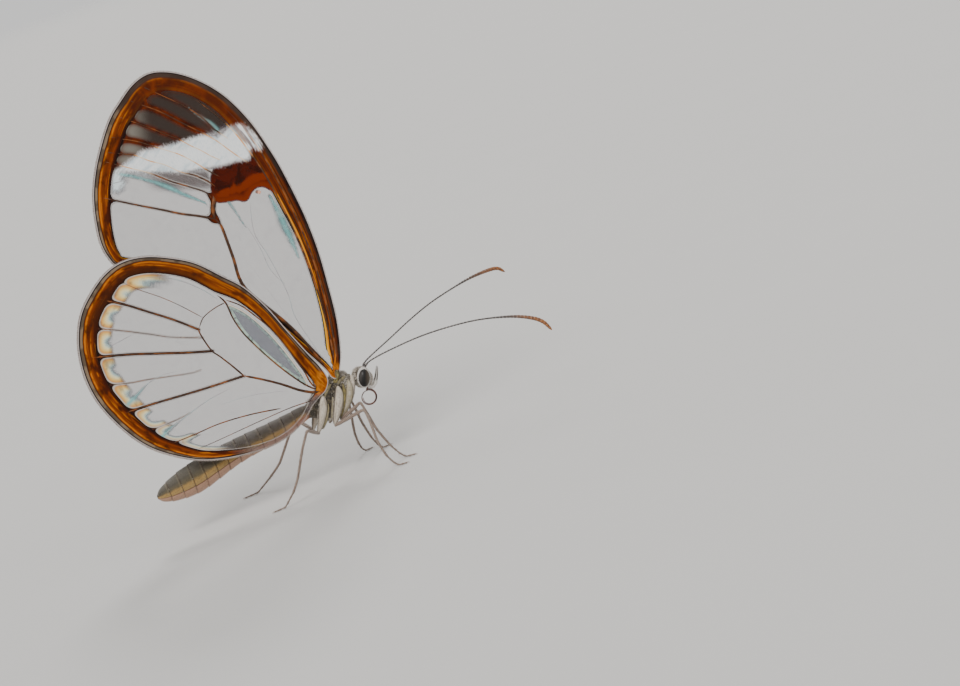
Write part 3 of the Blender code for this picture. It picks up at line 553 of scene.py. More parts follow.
class Finish:
    """A procedural material around one Principled shader."""

    def __init__(self, name, **constants):
        self.material = bpy.data.materials.new(name)
        self.material.use_nodes = True
        self.tree = self.material.node_tree
        self.shader = self.tree.nodes["Principled BSDF"]
        for socket, value in constants.items():
            self.shader.inputs[socket.replace("_", " ")].default_value = value

    def put(self, socket, item):
        if isinstance(item, Value):
            self.tree.links.new(item.socket, socket)
        elif hasattr(socket.default_value, "__len__") and not hasattr(item, "__len__"):
            socket.default_value = [item] * len(socket.default_value)
        elif hasattr(item, "__len__") and len(socket.default_value) == 4 and len(item) == 3:
            socket.default_value = (*item, 1.0)
        else:
            socket.default_value = item

    def add(self, kind, settings=None, inputs=None, output=0):
        """One node of any kind: its settings first, then the values or links of its sockets."""
        node = self.tree.nodes.new(kind)
        settings = dict(settings or {})
        stops = settings.pop("stops", None)
        for key, value in settings.items():
            setattr(node, key, value)
        if stops:
            points = node.color_ramp.elements
            while len(points) < len(stops):
                points.new(1.0)
            for point, (place, colour) in zip(points, stops):
                point.position = place
                point.color = (*colour, 1.0) if hasattr(colour, "__len__") else (colour, colour, colour, 1.0)
        for key, item in (inputs or {}).items():
            self.put(node.inputs[key], item)
        return Value(self, node.outputs[output])

    def set(self, **links):
        for socket, item in links.items():
            self.put(self.shader.inputs[socket.replace("_", " ")], item)
        return self.material

    def number(self, name):
        return self.add("ShaderNodeAttribute", {"attribute_name": name}, output="Fac")

    def place(self):
        """Object coordinates in millimetres."""
        here = self.add("ShaderNodeTexCoord", output="Object")
        return self.add("ShaderNodeVectorMath", {"operation": "SCALE"}, {0: here, "Scale": 1 / MM})

    def axis(self, vector, index):
        return self.add("ShaderNodeSeparateXYZ", inputs={0: vector}, output=index)

    def joined(self, x, y, z=0.0):
        return self.add("ShaderNodeCombineXYZ", inputs={0: x, 1: y, 2: z})

    def noise(self, vector, scale, detail=2.0, rough=0.5, warp=0.0):
        inputs = {"Vector": vector, "Scale": scale, "Detail": detail, "Roughness": rough, "Distortion": warp}
        return self.add("ShaderNodeTexNoise", {"noise_dimensions": "3D"}, inputs)

    def cells(self, vector, scale, output="Distance"):
        return self.add("ShaderNodeTexVoronoi", inputs={"Vector": vector, "Scale": scale}, output=output)

    def ramp(self, value, stops):
        return self.add("ShaderNodeValToRGB", {"stops": stops}, {0: value})

    def mix(self, share, first, second, blend="MIX"):
        settings = {"data_type": "RGBA", "blend_type": blend, "clamp_factor": True}
        return self.add("ShaderNodeMix", settings, {0: share, 6: first, 7: second}, output=2)

    def bump(self, height, strength, distance):
        inputs = {"Strength": strength, "Distance": distance * MM, "Height": height}
        return self.add("ShaderNodeBump", inputs=inputs)


# ---------------------------------------------------------------- curves
def smooth(points, per_span, closed=False):
    """A Catmull-Rom curve: on each span the cubic that passes its ends with the neighbours' slopes."""
    p = np.asarray(points, float)
    if closed:
        p = np.vstack([p[-1], p, p[0], p[1]])
    else:
        p = np.vstack([2 * p[0] - p[1], p, 2 * p[-1] - p[-2]])
    t = np.linspace(0, 1, per_span, endpoint=False)[None, :, None]
    a, b, c, d = (p[i : len(p) - 3 + i][:, None] for i in range(4))
    spans = 0.5 * (2 * b + (c - a) * t + (2 * a - 5 * b + 4 * c - d) * t**2 + (3 * b - a - 3 * c + d) * t**3)
    line = spans.reshape(-1, p.shape[1])
    return line if closed else np.vstack([line, p[-2]])


def run_along(line):
    """How far along a line of straight pieces each of its points is."""
    return np.concatenate([[0], np.cumsum(np.linalg.norm(np.diff(line, axis=0), axis=1))])


def even(line, count, closed=False, dims=None):
    """The line's points respaced so that each step along it has the same length."""
    line = np.vstack([line, line[:1]]) if closed else line
    run = run_along(line[:, : dims or line.shape[1]])
    at = np.linspace(0, run[-1], count, endpoint=not closed)
    return np.stack([np.interp(at, run, column) for column in line.T], axis=1)


def unit(vectors):
    return vectors / np.maximum(np.linalg.norm(vectors, axis=-1, keepdims=True), TINY)


def nearest(points, line):
    """For each point, its distance from a line of straight pieces and how far along the line that is."""
    start, step = line[:-1], np.diff(line, axis=0)
    length, run = np.linalg.norm(step, axis=1), run_along(line)
    gaps, places = [], []
    for some in np.array_split(points, max(1, len(points) * len(line) // MOST_PAIRS)):
        offset = some[:, None] - start
        share = np.clip((offset * step).sum(axis=2) / np.maximum(length**2, TINY), 0, 1)
        away = np.linalg.norm(offset - share[..., None] * step, axis=2)
        best = away.argmin(axis=1)
        rows = np.arange(len(some))
        gaps.append(away[rows, best])
        places.append(run[best] + share[rows, best] * length[best])
    return np.concatenate(gaps), np.concatenate(places)


def inside(points, outline):
    """Whether each point is inside a closed outline: an odd number of edges lie to its right."""
    start, end = outline, np.roll(outline, -1, axis=0)
    rise = np.where(end[:, 1] == start[:, 1], 1e-9, end[:, 1] - start[:, 1])
    odd = np.zeros(len(points), bool)
    for (x0, z0), (x1, z1), dz in zip(start, end, rise):
        across = (z0 > points[:, 1]) != (z1 > points[:, 1])
        odd ^= across & (points[:, 0] < x0 + (x1 - x0) * (points[:, 1] - z0) / dz)
    return odd


def signed(points, controls):
    """Distance into a smooth closed outline: positive inside it, negative outside."""
    outline = smooth(controls, 8, closed=True)
    gap, _ = nearest(points, np.vstack([outline, outline[:1]]))
    return np.where(inside(points, outline), gap, -gap)


def soft_min(a, b, reach):
    """The smaller of a and b, rounded where they are within reach of each other."""
    share = np.clip(0.5 + 0.5 * (b - a) / reach, 0, 1)
    return b + (a - b) * share - reach * share * (1 - share)


def step01(value):
    value = np.clip(value, 0, 1)
    return value * value * (3 - 2 * value)


def along_outline(outline, marks):
    """Numbers given at places (x, z, number) near an outline, carried evenly between them round it."""
    marks = np.asarray(marks, float)
    loop = np.vstack([outline, outline[:1]])
    run = run_along(loop)
    _, at = nearest(marks[:, :2], loop)
    order = np.argsort(at)
    return run, np.interp(run, at[order], marks[order, 2], period=run[-1])


# ---------------------------------------------------------------- surfaces
def surface(rows, values=None, caps=(True, True)):
    """A skin over rings of points: quads between neighbouring rings, and a fan of triangles to the
    middle of the first and last ring, so that both poles are closed."""
    count, sides = rows.shape[:2]
    points = rows.reshape(-1, 3)
    r, c = (a.ravel() for a in np.meshgrid(np.arange(count - 1), np.arange(sides), indexing="ij"))
    n = (c + 1) % sides
    quads = np.stack([r * sides + c, r * sides + n, (r + 1) * sides + n, (r + 1) * sides + c], axis=1)
    u, v = np.stack([c, c + 1, c + 1, c], 1) / sides, np.stack([r, r, r + 1, r + 1], 1) / (count - 1)
    faces, maps = [quads], [np.stack([u, v], axis=2)]
    values = {name: np.asarray(kept, float).reshape(-1) for name, kept in (values or {}).items()}
    ring, after = np.arange(sides), (np.arange(sides) + 1) % sides
    for end, (first, wanted) in enumerate(zip((0, (count - 1) * sides), caps)):
        if not wanted:
            continue
        pole = np.full(sides, len(points))
        points = np.vstack([points, points[first : first + sides].mean(axis=0)])
        values = {k: np.append(x, x[first : first + sides].mean()) for k, x in values.items()}
        turn = (pole, first + after, first + ring) if end == 0 else (pole, first + ring, first + after)
        faces.append(np.stack(turn, axis=1))
        corners = (ring + 0.5, ring + 1, ring) if end == 0 else (ring + 0.5, ring, ring + 1)
        maps.append(np.stack([np.stack(corners, 1) / sides, np.full((sides, 3), float(end))], axis=2))
    if sum(volume(points, f) for f in faces) < 0:
        faces, maps = [f[:, ::-1] for f in faces], [m[:, ::-1] for m in maps]
    return {"points": points, "faces": faces, "maps": maps, "values": values}


def volume(points, faces):
    """The volume that faces close in, as a sum over triangles of a . (b x c) / 6."""
    total = 0.0
    for last in range(2, faces.shape[1]):
        a, b, c = points[faces[:, 0]], points[faces[:, last - 1]], points[faces[:, last]]
        total += np.einsum("ij,ij->", a, np.cross(b, c)) / 6
    return total


def joined(parts):
    """Several surfaces as one."""
    shift, faces, maps = 0, [], []
    for part in parts:
        faces += [f + shift for f in part["faces"]]
        maps += part["maps"]
        shift += len(part["points"])
    names = {name for part in parts for name in part["values"]}
    values = {
        name: np.concatenate([part["values"].get(name, np.zeros(len(part["points"]))) for part in parts])
        for name in names
    }
    return {"points": np.vstack([p["points"] for p in parts]), "faces": faces, "maps": maps, "values": values}


def girth(marks, share):
    """A radius that passes smoothly through marks of (share, radius)."""
    marks = np.asarray(marks, float)
    fine = smooth(marks, 12)
    return np.interp(share, fine[:, 0], fine[:, 1])


def square_to(line, aside=None):
    """The direction of a line at each of its points, and two square to it and to each other: other,
    which lies as near as it can to aside, or else to the line's own flattest way, and across."""
    along = unit(np.gradient(line, axis=0))
    if aside is None:
        aside = np.linalg.svd(line - line.mean(axis=0))[2][-1]
    other = unit(aside - along * (along @ aside)[:, None])
    return along, other, np.cross(other, along)


def tube(line, radii, sides, flat=None, aside=None):
    """An oval section carried along a line: line + radii cos a * across + flat sin a * other."""
    _, other, across = square_to(line, aside)
    turn = np.linspace(0, 2 * np.pi, sides, endpoint=False)
    radii = np.broadcast_to(radii, len(line))
    flat = radii if flat is None else np.broadcast_to(flat, len(line))
    rows = (
        line[:, None]
        + (radii[:, None] * np.cos(turn))[..., None] * across[:, None]
        + (flat[:, None] * np.sin(turn))[..., None] * other[:, None]
    )
    kept = {
        "run": np.repeat(run_along(line), sides),
        "turn": np.tile(np.sin(turn), len(line)),
        "front": np.tile(np.cos(turn), len(line)),
    }
    return surface(rows, kept)


def blades(roots, heading, out, length, width, bend, patch, values=None):
    """Hair-like scales as closed three-sided spikes. Each has a triangle at its root, one at its
    middle and a tip: point = root + heading * length * t + out * bend * length * t^2."""
    count = len(roots)
    side = unit(np.cross(heading, out))
    length, width = np.broadcast_to(length, count)[:, None], np.broadcast_to(width, count)[:, None]
    bend = np.broadcast_to(bend, count)[:, None]
    middle = roots + heading * length * 0.5 + out * length * bend * 0.25
    tip = roots + heading * length + out * length * bend
    base = [
        roots + side * width - out * width * 0.3,
        roots - side * width - out * width * 0.3,
        roots + out * width * 0.5,
    ]
    half = [middle + side * width * 0.8, middle - side * width * 0.8, middle + out * width * 0.45]
    points = np.stack([*base, *half, tip], axis=1).reshape(-1, 3)
    first = np.arange(count)[:, None] * 7
    quads = np.vstack([first + q for q in ([0, 1, 4, 3], [1, 2, 5, 4], [2, 0, 3, 5])])
    tris = np.vstack([first + t for t in ([0, 2, 1], [3, 4, 6], [4, 5, 6], [5, 3, 6])])
    spot = HALF_PATCH * np.array([(-1, -1), (1, -1), (0, -0.6), (-0.8, 0.3), (0.8, 0.3), (0, 0.5), (0, 1)])
    spread = (patch[:, None] + spot).reshape(-1, 2)
    kept = {"tip": np.tile([0, 0, 0, 0.5, 0.5, 0.5, 1.0], count)}
    kept.update({name: np.repeat(v, 7) for name, v in (values or {}).items()})
    if volume(points, quads) + volume(points, tris) < 0:
        quads, tris = quads[:, ::-1], tris[:, ::-1]
    return {"points": points, "faces": [quads, tris], "maps": [spread[quads], spread[tris]], "values": kept}


def make(name, shape, material, replaced=(), coat=False):
    """The finished object of a surface, riding on the butterfly."""
    faces, points = shape["faces"], shape["points"]
    corners = np.concatenate([f.ravel() for f in faces]).astype(np.int32)
    sizes = np.concatenate([np.full(len(f), f.shape[1]) for f in faces])
    starts = np.concatenate([[0], np.cumsum(sizes)[:-1]]).astype(np.int32)
    mesh = bpy.data.meshes.new(name)
    mesh.vertices.add(len(points))
    mesh.vertices.foreach_set("co", (points * MM).astype(np.float32).ravel())
    mesh.loops.add(len(corners))
    mesh.loops.foreach_set("vertex_index", corners)
    mesh.polygons.add(len(sizes))
    mesh.polygons.foreach_set("loop_start", starts)
    mesh.update(calc_edges=True)
    for kept, numbers in shape["values"].items():
        layer = mesh.attributes.new(kept, "FLOAT", "POINT")
        layer.data.foreach_set("value", numbers.astype(np.float32))
    if coat:
        layer = mesh.uv_layers.new(name="OFBake")
        spread = np.concatenate([m.reshape(-1) for m in shape["maps"]])
        layer.data.foreach_set("uv", spread.astype(np.float32))
    if mesh.validate():
        raise RuntimeError(f"{name} has faces that don't fit together")
    mesh.shade_smooth()
    mesh.set_sharp_from_angle(angle=math.radians(SHARP_ANGLE))
    made = bpy.data.objects.new(name, mesh)
    bpy.context.scene.collection.objects.link(made)
    mesh.materials.append(material)
    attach(made, "root")
    if replaced:
        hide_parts(*replaced)
    return made


# ---------------------------------------------------------------- wings
def fore_layer(points):
    """How far out a forewing lies: flat over the back, and spread to the hinge at its root."""
    reach = np.linalg.norm(points - FORE_HINGE, axis=-1) / FORE_HINGE_REACH
    return FORE_LAYER + FORE_SPREAD * step01(1 - reach)


def hind_layer(points):
    """How far out a hindwing lies: drawn in at its root and spread round the abdomen below."""
    root = step01(1 - np.linalg.norm(points - HIND_HINGE, axis=-1) / HIND_HINGE_REACH)
    flank = step01((HIND_FLANK_TOP - points[..., 1]) / HIND_FLANK_DEPTH)
    return HIND_LAYER + HIND_SPREAD * flank - HIND_DRAWN_IN * root


def ripple(points):
    """A faint unevenness of the film: the sum of three slow waves."""
    x, z = points[..., 0], points[..., 1]
    slow = np.sin(0.9 * x + 0.5 * z) + np.sin(0.6 * z - 1.1 * x + 1)
    return RIPPLE * (slow + 0.6 * np.sin(1.7 * x + 1.3 * z))


def placed(points, side, layer):
    """Side view places put into space: each lies on its wing's layer, slid along the camera's line
    of sight from the right wing's flat layer, so that the left wings lie squarely behind."""
    flat = -layer(np.array([[-6.0, 14.0]]))[0]
    y = SIDES[side] * (layer(points) + ripple(points))
    scale = ((y - CAMERA_AT[1]) / (flat - CAMERA_AT[1]))[..., None]
    centre = CAMERA_AT[[0, 2]]
    moved = centre + (points - centre) * scale
    return np.stack([moved[..., 0], y, moved[..., 1]], axis=-1)


def wing_plan(outline, middle):
    """Rings of side view places: middle + s (outline - middle), with s closer together at the rim."""
    rim = even(smooth(outline, 24, closed=True), AROUND, closed=True)
    q = np.linspace(0, 1, RINGS)
    share = 0.03 + 0.97 * (1 - (1 - q) ** 1.3)
    return rim, np.array(middle) + share[:, None, None] * (rim - middle)


def vein_gaps(points, veins):
    """Distance of each point from each vein."""
    return {name: nearest(points, smooth(np.array(line)[:, :2], 6))[0] for name, line in veins.items()}


def rim_numbers(points, rim, band, costal):
    """Distance from the rim, the band's width and finish beside it, and the way along the rim."""
    loop = np.vstack([rim, rim[:1]])
    gap, at = nearest(points, loop)
    run, width = along_outline(rim, band)
    _, style = along_outline(rim, costal)
    return gap, np.interp(at, run, width), np.interp(at, run, style), at


def glow(points, lines):
    """1 on lines of (x, z, reach), falling off as exp(-(distance / reach)^2)."""
    best = np.zeros(len(points))
    for line in lines:
        fine = even(smooth(line, 8), 60, dims=2)
        gap, at = nearest(points, fine[:, :2])
        reach = np.interp(at, np.linspace(0, at.max(), len(fine)), fine[:, 2])
        best = np.maximum(best, np.exp(-((gap / reach) ** 2)))
    return best


def fore_numbers(points, rim):
    """What the forewing's finish reads at each point: the amber band, the smoky windows between
    the veins of the tip, the white band, the brown patch and the teal sheen."""
    gap, width, style, at = rim_numbers(points, rim, FORE_BAND, FORE_COSTAL)
    x, z = points[:, 0], points[:, 1]
    above = step01((z - 28.9 - 0.02 * x) / 0.8)
    window = gap - width
    for name, away in vein_gaps(points, FORE_VEINS).items():
        if name in FORE_BARS:
            bar = THIN_BAR + (FORE_BARS[name] - THIN_BAR) * (above if name in TIP_BARS else 1)
            window = soft_min(window, away - bar, 0.55)
    slant = z + 0.36 * x
    dusk = step01((25.7 - slant) / 0.5) * step01((slant - 23.6) / 0.9)
    dusk = dusk * step01((-2.8 - x) / 0.5) * step01((x + 8.2) / 2)
    return {
        "rim": gap, "share": gap / width, "costal": style, "along": at, "window": window,
        "white": signed(points, FORE_WHITE), "patch": signed(points, FORE_PATCH), "tip_side": above,
        "teal": glow(points, FORE_TEAL), "frost": signed(points, FORE_FROST), "dusk": dusk,
        "root": step01(1.2 - np.linalg.norm(points - FORE_ROOT, axis=1) / ROOT_REACH),
    }


def hind_numbers(points, rim):
    """What the hindwing's finish reads at each point: the amber band, the scalloped windows with a
    crescent in each, and the teal sheen."""
    gap, width, style, at = rim_numbers(points, rim, HIND_BAND, HIND_COSTAL)
    x, z = points[:, 0], points[:, 1]
    edge = window = gap - width
    for name, away in vein_gaps(points, HIND_VEINS).items():
        if name in HIND_BARS:
            window = soft_min(window, away - HIND_BARS[name], 0.55)
    return {
        "rim": gap, "share": gap / width, "costal": style, "along": at, "window": window, "edge": edge,
        "outer": step01((-x - 8.6) / 2.2) * step01((z - 4.6) / 1.5), "teal": glow(points, HIND_TEAL),
        "lens": signed(points, HIND_LENS), "faint": step01((x + 9.5) / 3) * step01((7.2 - z) / 0.7),
        "root": step01(1.25 - np.linalg.norm(points - HIND_ROOT, axis=1) / ROOT_REACH),
    }


def film(rings, side, layer, numbers):
    """The wing's film as a closed skin: out from the middle to the rim on one face, and back on the
    other, each half a film's thickness from the layer. It is thicker in the band by the rim."""
    here = placed(rings.reshape(-1, 2), side, layer).reshape(*rings.shape[:2], 3)
    numbers = {name: value.reshape(rings.shape[:2]) for name, value in numbers.items()}
    push = np.zeros_like(here)
    in_band = step01((1.05 - numbers["share"]) / 0.15) * step01(numbers["rim"] / 0.15)
    push[..., 1] = HALF_FILM + HALF_BAND * in_band
    rows = np.concatenate([here + push, (here - push)[::-1]])
    return surface(rows, {name: np.concatenate([value, value[::-1]]) for name, value in numbers.items()})


def to_rim(line, rim):
    """A vein carried on in its own direction to the dark line at the rim."""
    line = np.array(line, float)
    line = line[inside(line[:, :2], rim) & (nearest(line[:, :2], rim)[0] > 0.5)]
    heading = unit(line[-1, :2] - line[-2, :2])
    for _ in range(2):
        left = nearest(line[-1:, :2], rim)[0][0] - 0.2
        line = np.vstack([line, [*(line[-1, :2] + heading * left * 0.6), RIM_VEIN]])
    return line


def wing_lines(lines, side, layer, scale=1.0, light=None):
    """Veins or creases as tubes in the wing's layer, tapered at both ends and light over the light
    outline's inside."""
    parts = []
    for line in lines:
        fine = smooth(np.array(line, float), 6)
        fine = even(fine, max(8, len(fine)), dims=2)
        pale = np.zeros(len(fine)) if light is None else step01(signed(fine[:, :2], light) / 0.3 + 0.3)
        order = np.arange(len(fine))
        taper = np.minimum(1, 0.35 + 0.65 * np.minimum(order, order[::-1]) / 2)
        radii = fine[:, 2] * (1 - 0.1 * pale) * scale * taper
        made = tube(placed(fine[:, :2], side, layer), radii, VEIN_SIDES, aside=OUTWARDS)
        made["values"]["light"] = np.concatenate([np.repeat(pale, VEIN_SIDES), [0, 0]])
        parts.append(made)
    return joined(parts)


def fringe(rim, side, layer, marks, length, seed):
    """Short scales standing off the rim in the wing's own layer, in a row that leans along it."""
    rng = np.random.default_rng(seed)
    fine = even(np.vstack([rim, rim[:1]]), FRINGE_COUNT)
    _, amount = along_outline(fine, marks)
    amount = amount[: len(fine)]
    tangent = unit(np.gradient(fine, axis=0))
    out = np.stack([tangent[:, 1], -tangent[:, 0]], axis=1)
    out *= np.sign(((fine - rim.mean(axis=0)) * out).sum(axis=1))[:, None]
    keep = rng.random(len(fine)) < np.clip(amount, 0, 1)
    fine, out, tangent, amount = fine[keep], out[keep], tangent[keep], amount[keep]
    count = len(fine)
    lean = rng.normal(0.15, 0.22, (count, 1))
    ends = fine + unit(out + tangent * lean) * 0.1
    roots = placed(fine - out * 0.03, side, layer)
    heading = unit(placed(ends, side, layer) - roots)
    roots[:, 1] += rng.uniform(-0.03, 0.03, count)
    lengths = length * rng.uniform(0.7, 1.3, count) * (0.5 + 0.5 * amount)
    spots = np.stack([np.linspace(0.02, 0.98, count), np.full(count, 0.5)], axis=1)
    values = {"shade": rng.random(count)}
    lift = np.tile(OUTWARDS, (count, 1))
    return blades(roots, heading, lift, lengths, 0.013, rng.normal(0, 0.12, count), spots, values)


class WingFinish(Finish):
    """The film, smoky windows, amber band with its dark lines, and pale scales of one wing pair."""

    def __init__(self, kind, look):
        super().__init__(f"{kind}_film", IOR=1.45, Specular_IOR_Level=0.13)
        self.look = look
        self.here = self.place()
        self.x, self.z = self.axis(self.here, 0), self.axis(self.here, 2)
        for name in ("rim", "share", "along", "window", "teal", "costal", "root"):
            setattr(self, name, self.number(name))
        self.wander = self.noise(self.joined(self.along * 0.55, self.share * 1.6, 3.0), 1.0, 3.0)
        self.streak = self.noise(self.joined(self.along * 0.22, self.rim * 6.6, 7.0), 1.0, 2.0)
        self.blot = self.noise(self.joined(self.along * 0.6, self.share * 0.7, 11.0), 1.0, 3.0)
        self.grain = self.noise(self.here, 4.0, 1.0)
        self.haze = self.noise(self.here, 0.55, 3.0, 0.6, 1.2)
        self.colour = self.mix(self.haze.rise(0.42, 0.72), tuple(look.tint), HAZE)
        self.solid = 0.07 + self.haze.rise(0.45, 0.75) * 0.03
        self.crisp = self.window.rise(0.02, -0.03)

    def lay(self, share, tint, add=None, least=None):
        """Lays a colour over the film, and adds to how solid it is or makes it at least so solid."""
        self.colour = self.mix(share, self.colour, tint)
        if add is not None:
            self.solid = self.solid + add
        if least is not None:
            self.solid = self.solid.either(least)

    def band(self, costa):
        """Amber round the rim, with dark lines along it, painted highlights in its ramps and in streaks, and
        painted shade in patches. costa is its ramp along the front edge.
        """
        look, share, costal, wander = self.look, self.share, self.costal, self.wander
        at = share + (wander - 0.5) * 0.2 * share.rise(0.15, 0.35)
        margin = self.ramp(at, [
            (0.0, RIM_LINE), (0.05, INK), (0.09, INK), (0.12, (0.2, 0.15, 0.11)), (0.23, (0.28, 0.19, 0.11)),
            (0.27, INK), (0.31, look.amber), (0.37, look.bright), (0.46, look.amber),
            (0.6, (0.13, 0.024, 0.001)), (0.74, look.amber), (0.88, look.deep), (1.0, INK),
        ])
        band = self.mix(costal, margin, self.ramp(share + (self.streak - 0.5) * 0.04, costa))
        gleam = self.streak.rise(0.52, 0.66) * wander.rise(0.42, 0.6)
        gleam = gleam * 0.75 * share.rise(0.34, 0.45) * share.rise(0.98, 0.85)
        band = self.mix(gleam, band, tuple(look.bright))
        shadow = wander.rise(0.52, 0.38) * (0.85 - costal * 0.35) * share.rise(0.22, 0.4)
        band = self.mix(shadow * (1 - costal * share.rise(0.72, 0.78)), band, tuple(look.deep))
        mottled = self.blot.rise(0.54, 0.44) * share.rise(0.3, 0.24) * (0.6 + costal * 0.3)
        return self.mix(mottled, band, (0.03, 0.02, 0.015))

    def root_and_bars(self, band):
        """The band with streaks of scales at the wing's root, and with its bars along the veins."""
        lie = self.joined(self.x * 5.0 + self.z * 2.6, self.z * 0.9 - self.x * 1.8, 4.0)
        lie = self.noise(lie, 1.0, 3.0, 0.5)
        scales = self.mix(lie.rise(0.3, 0.75), (0.24, 0.05, 0.002), (0.6, 0.19, 0.006))
        band = self.mix(self.root.rise(0.1, 0.7), band, scales)
        bar = self.mix(self.wander.rise(0.35, 0.6), tuple(self.look.deep), (0.12, 0.018, 0.002))
        return self.mix(self.share.rise(1.0, 1.15), band, bar)

    def lay_band(self, rim_highlight, band, in_band, hidden):
        """Lays the pale line painted as a highlight round the windows, the painted teal glints, the band and
        the dark line at the windows' edge.
        """
        self.lay(rim_highlight * 1.6, (0.62, 0.57, 0.52), least=rim_highlight)
        wisps = self.joined(self.x * 2.4 + self.z * 0.8, self.z * 1.2 - self.x * 0.6, 6.0)
        wisps = self.noise(wisps, 1.0, 3.0, 0.6, 1.0)
        self.lay(self.teal, tuple(self.look.sheen), add=self.teal * (0.25 + wisps.rise(0.35, 0.65) * 0.45))
        self.lay(in_band, band, least=in_band * 0.95)
        line = self.window.line(-0.02, 0.04) * (1 - hidden)
        self.lay(line * 0.9, INK, least=line * 0.85)

    def done(self, in_band, rough, shut=1.0):
        """The material, once the lines at the rim are laid where shut is 1."""
        black = self.rim.rise(0.17, 0.13) * self.rim.rise(0.05, 0.08) * shut * (1 - self.root)
        self.lay(black, (0.012, 0.008, 0.008), least=black * 0.96)
        outermost = self.rim.rise(0.085, 0.05)
        self.lay(outermost, (0.5, 0.44, 0.42), least=outermost * 0.85 * shut)
        scales = self.cells(self.joined(self.along * 7.0, self.rim * 14.0, 0.0), 1.0)
        height = in_band * (scales * 0.12 + self.streak * 0.8) + self.haze * 0.8 + self.grain * 0.06
        bump = self.bump(height, 0.35, 0.05)
        return self.set(Base_Color=self.colour, Alpha=self.solid.both(1.0), Roughness=rough, Normal=bump)


def white_band(paint, rough):
    """Lays ragged white scales over the wing, in streaks across the front edge, and a glint."""
    x, z, share, white = paint.x, paint.z, paint.share, paint.number("white")
    rows = paint.noise(paint.joined(paint.along * 0.3, share * 4.5, 5.0), 1.0, 2.0)
    comb = paint.noise(paint.joined(x * 9.0, z * 3.0, 0.0), 1.0, 3.0, 0.7)
    ragged = white + (comb - 0.5) * 0.8 + (paint.noise(paint.here, 26.0, 2.0) - 0.5) * 0.2
    fading = (x + z * 0.15).rise(-6.1, -4.2)
    over = paint.costal * share.rise(1.05, 0.9)
    chalk = ragged.rise(-0.1, 0.26) * (fading * 0.6 + 0.4)
    chalk = chalk * (1 - over * rows.rise(0.5, 0.56) * 0.85) * share.rise(0.14, 0.2)
    drift = paint.noise(paint.joined(x * 0.7 + z * 0.5, z * 2.2 - x * 1.2, 8.0), 1.0, 3.0, 0.6)
    pale = paint.mix(comb.rise(0.4, 0.75) * 0.5, tuple(paint.look.white), (0.6, 0.71, 0.77))
    pale = paint.mix(drift.rise(0.44, 0.66) * 0.75 * white.rise(1.1, 0.3), pale, (0.5, 0.63, 0.7))
    pale = paint.mix(white.rise(0.4, 0.05) * 0.5, pale, (0.34, 0.24, 0.22))
    pale = paint.mix(over * rows.rise(0.48, 0.42), pale, (0.98, 0.95, 0.94))
    paint.lay(chalk, pale, least=chalk * 0.96)
    spot = (x - 0.2) * (x - 0.2) + (z - 23.55) * (z - 23.55)
    glint = spot.rise(0.03, 0.008)
    paint.lay(glint, (0.9, 0.45, 0.3), least=glint * 0.9)
    return rough.either(chalk * 0.5)


def fore_finish(look):
    """The forewing: smoky windows at the tip, a white band, a brown patch and an amber band."""
    paint = WingFinish("fore", look)
    x, z, share, window, costal = paint.x, paint.z, paint.share, paint.window, paint.costal
    # The ramp's amber and gold stops by the inner edge are a painted highlight line along it.
    band = paint.band([
        (0.0, RIM_LINE), (0.05, INK), (0.15, INK), (0.19, look.deep), (0.33, (0.15, 0.03, 0.004)),
        (0.37, INK), (0.42, (0.2, 0.05, 0.004)), (0.59, look.amber), (0.64, INK),
        (0.69, (0.11, 0.025, 0.003)), (0.75, INK), (0.79, look.bright), (0.92, (0.95, 0.5, 0.04)),
        (0.96, INK), (1.0, INK),
    ])
    tip = (z + x * 0.6).rise(27.6, 29.8)
    dark = paint.mix(paint.blot, (0.015, 0.009, 0.007), (0.1, 0.06, 0.045))
    band = paint.mix(tip * share.rise(0.42, 0.2), band, dark)
    rust = paint.mix(paint.blot.rise(0.62, 0.4), (0.2, 0.032, 0.002), (0.06, 0.009, 0.002))
    band = paint.mix(tip * share.rise(0.3, 0.45) * 0.85, band, rust)
    high = (z - x * 0.3).rise(21.0, 24.2) * costal
    band = paint.root_and_bars(paint.mix(high * share.rise(0.3, 0.5) * 0.75, band, (0.1, 0.014, 0.002)))

    above, dusk, patch = paint.number("tip_side"), paint.number("dusk"), paint.number("patch")
    in_band = paint.crisp.either(window.rise(0.26, -0.14) * share.rise(1.0, 1.1) * above)
    smoke = above * window.rise(-0.12, 0.0)
    ends = (x - z * 0.25).rise(-13.6, -15.6)
    paint.lay(smoke, paint.mix(ends, (0.05, 0.036, 0.03), (0.22, 0.2, 0.17)), add=smoke * 0.76)
    paint.lay(dusk * 0.85, (0.07, 0.035, 0.03), add=dusk * 0.3)
    frosty = paint.noise(paint.joined(x * 1.6 + z * 1.2, z * 5.0 - x * 4.0, 2.0), 1.0, 3.0, 0.6)
    frost = (paint.number("frost") + (frosty - 0.5) * 0.9).rise(-0.15, 0.6) * window.rise(0.0, 0.2)
    paint.lay(frost, (0.84, 0.94, 0.97), add=frost * (0.4 + frosty * 0.6))
    paint.lay_band(window.line(0.06, 0.045) * 0.45 * (1 - above), band, in_band, above)
    brown = patch.rise(-0.12, 0.1)
    cloud = paint.noise(paint.here, 0.9, 3.0, 0.5, 0.8)
    # Painted highlight: a diagonal streak of light across the brown patch, joined with the patch's own
    # orange-red lower edge.
    orange_edge_and_highlight = patch.rise(0.8, 0.2) * z.rise(25.0, 24.2) * 0.75
    orange_edge_and_highlight = orange_edge_and_highlight.either((z - x * 0.08 + (cloud - 0.5) * 1.2).line(24.55, 0.55) * patch.rise(0.1, 0.5) * 0.8)
    shade = paint.mix(cloud.rise(0.4, 0.65), (0.075, 0.007, 0.001), (0.03, 0.004, 0.001))
    russet = paint.mix(orange_edge_and_highlight, shade, (0.22, 0.027, 0.001))
    paint.lay(brown * share.rise(0.55, 0.95), russet, least=brown * 0.95)
    return paint.done(in_band, white_band(paint, 0.2 + in_band * 0.18))


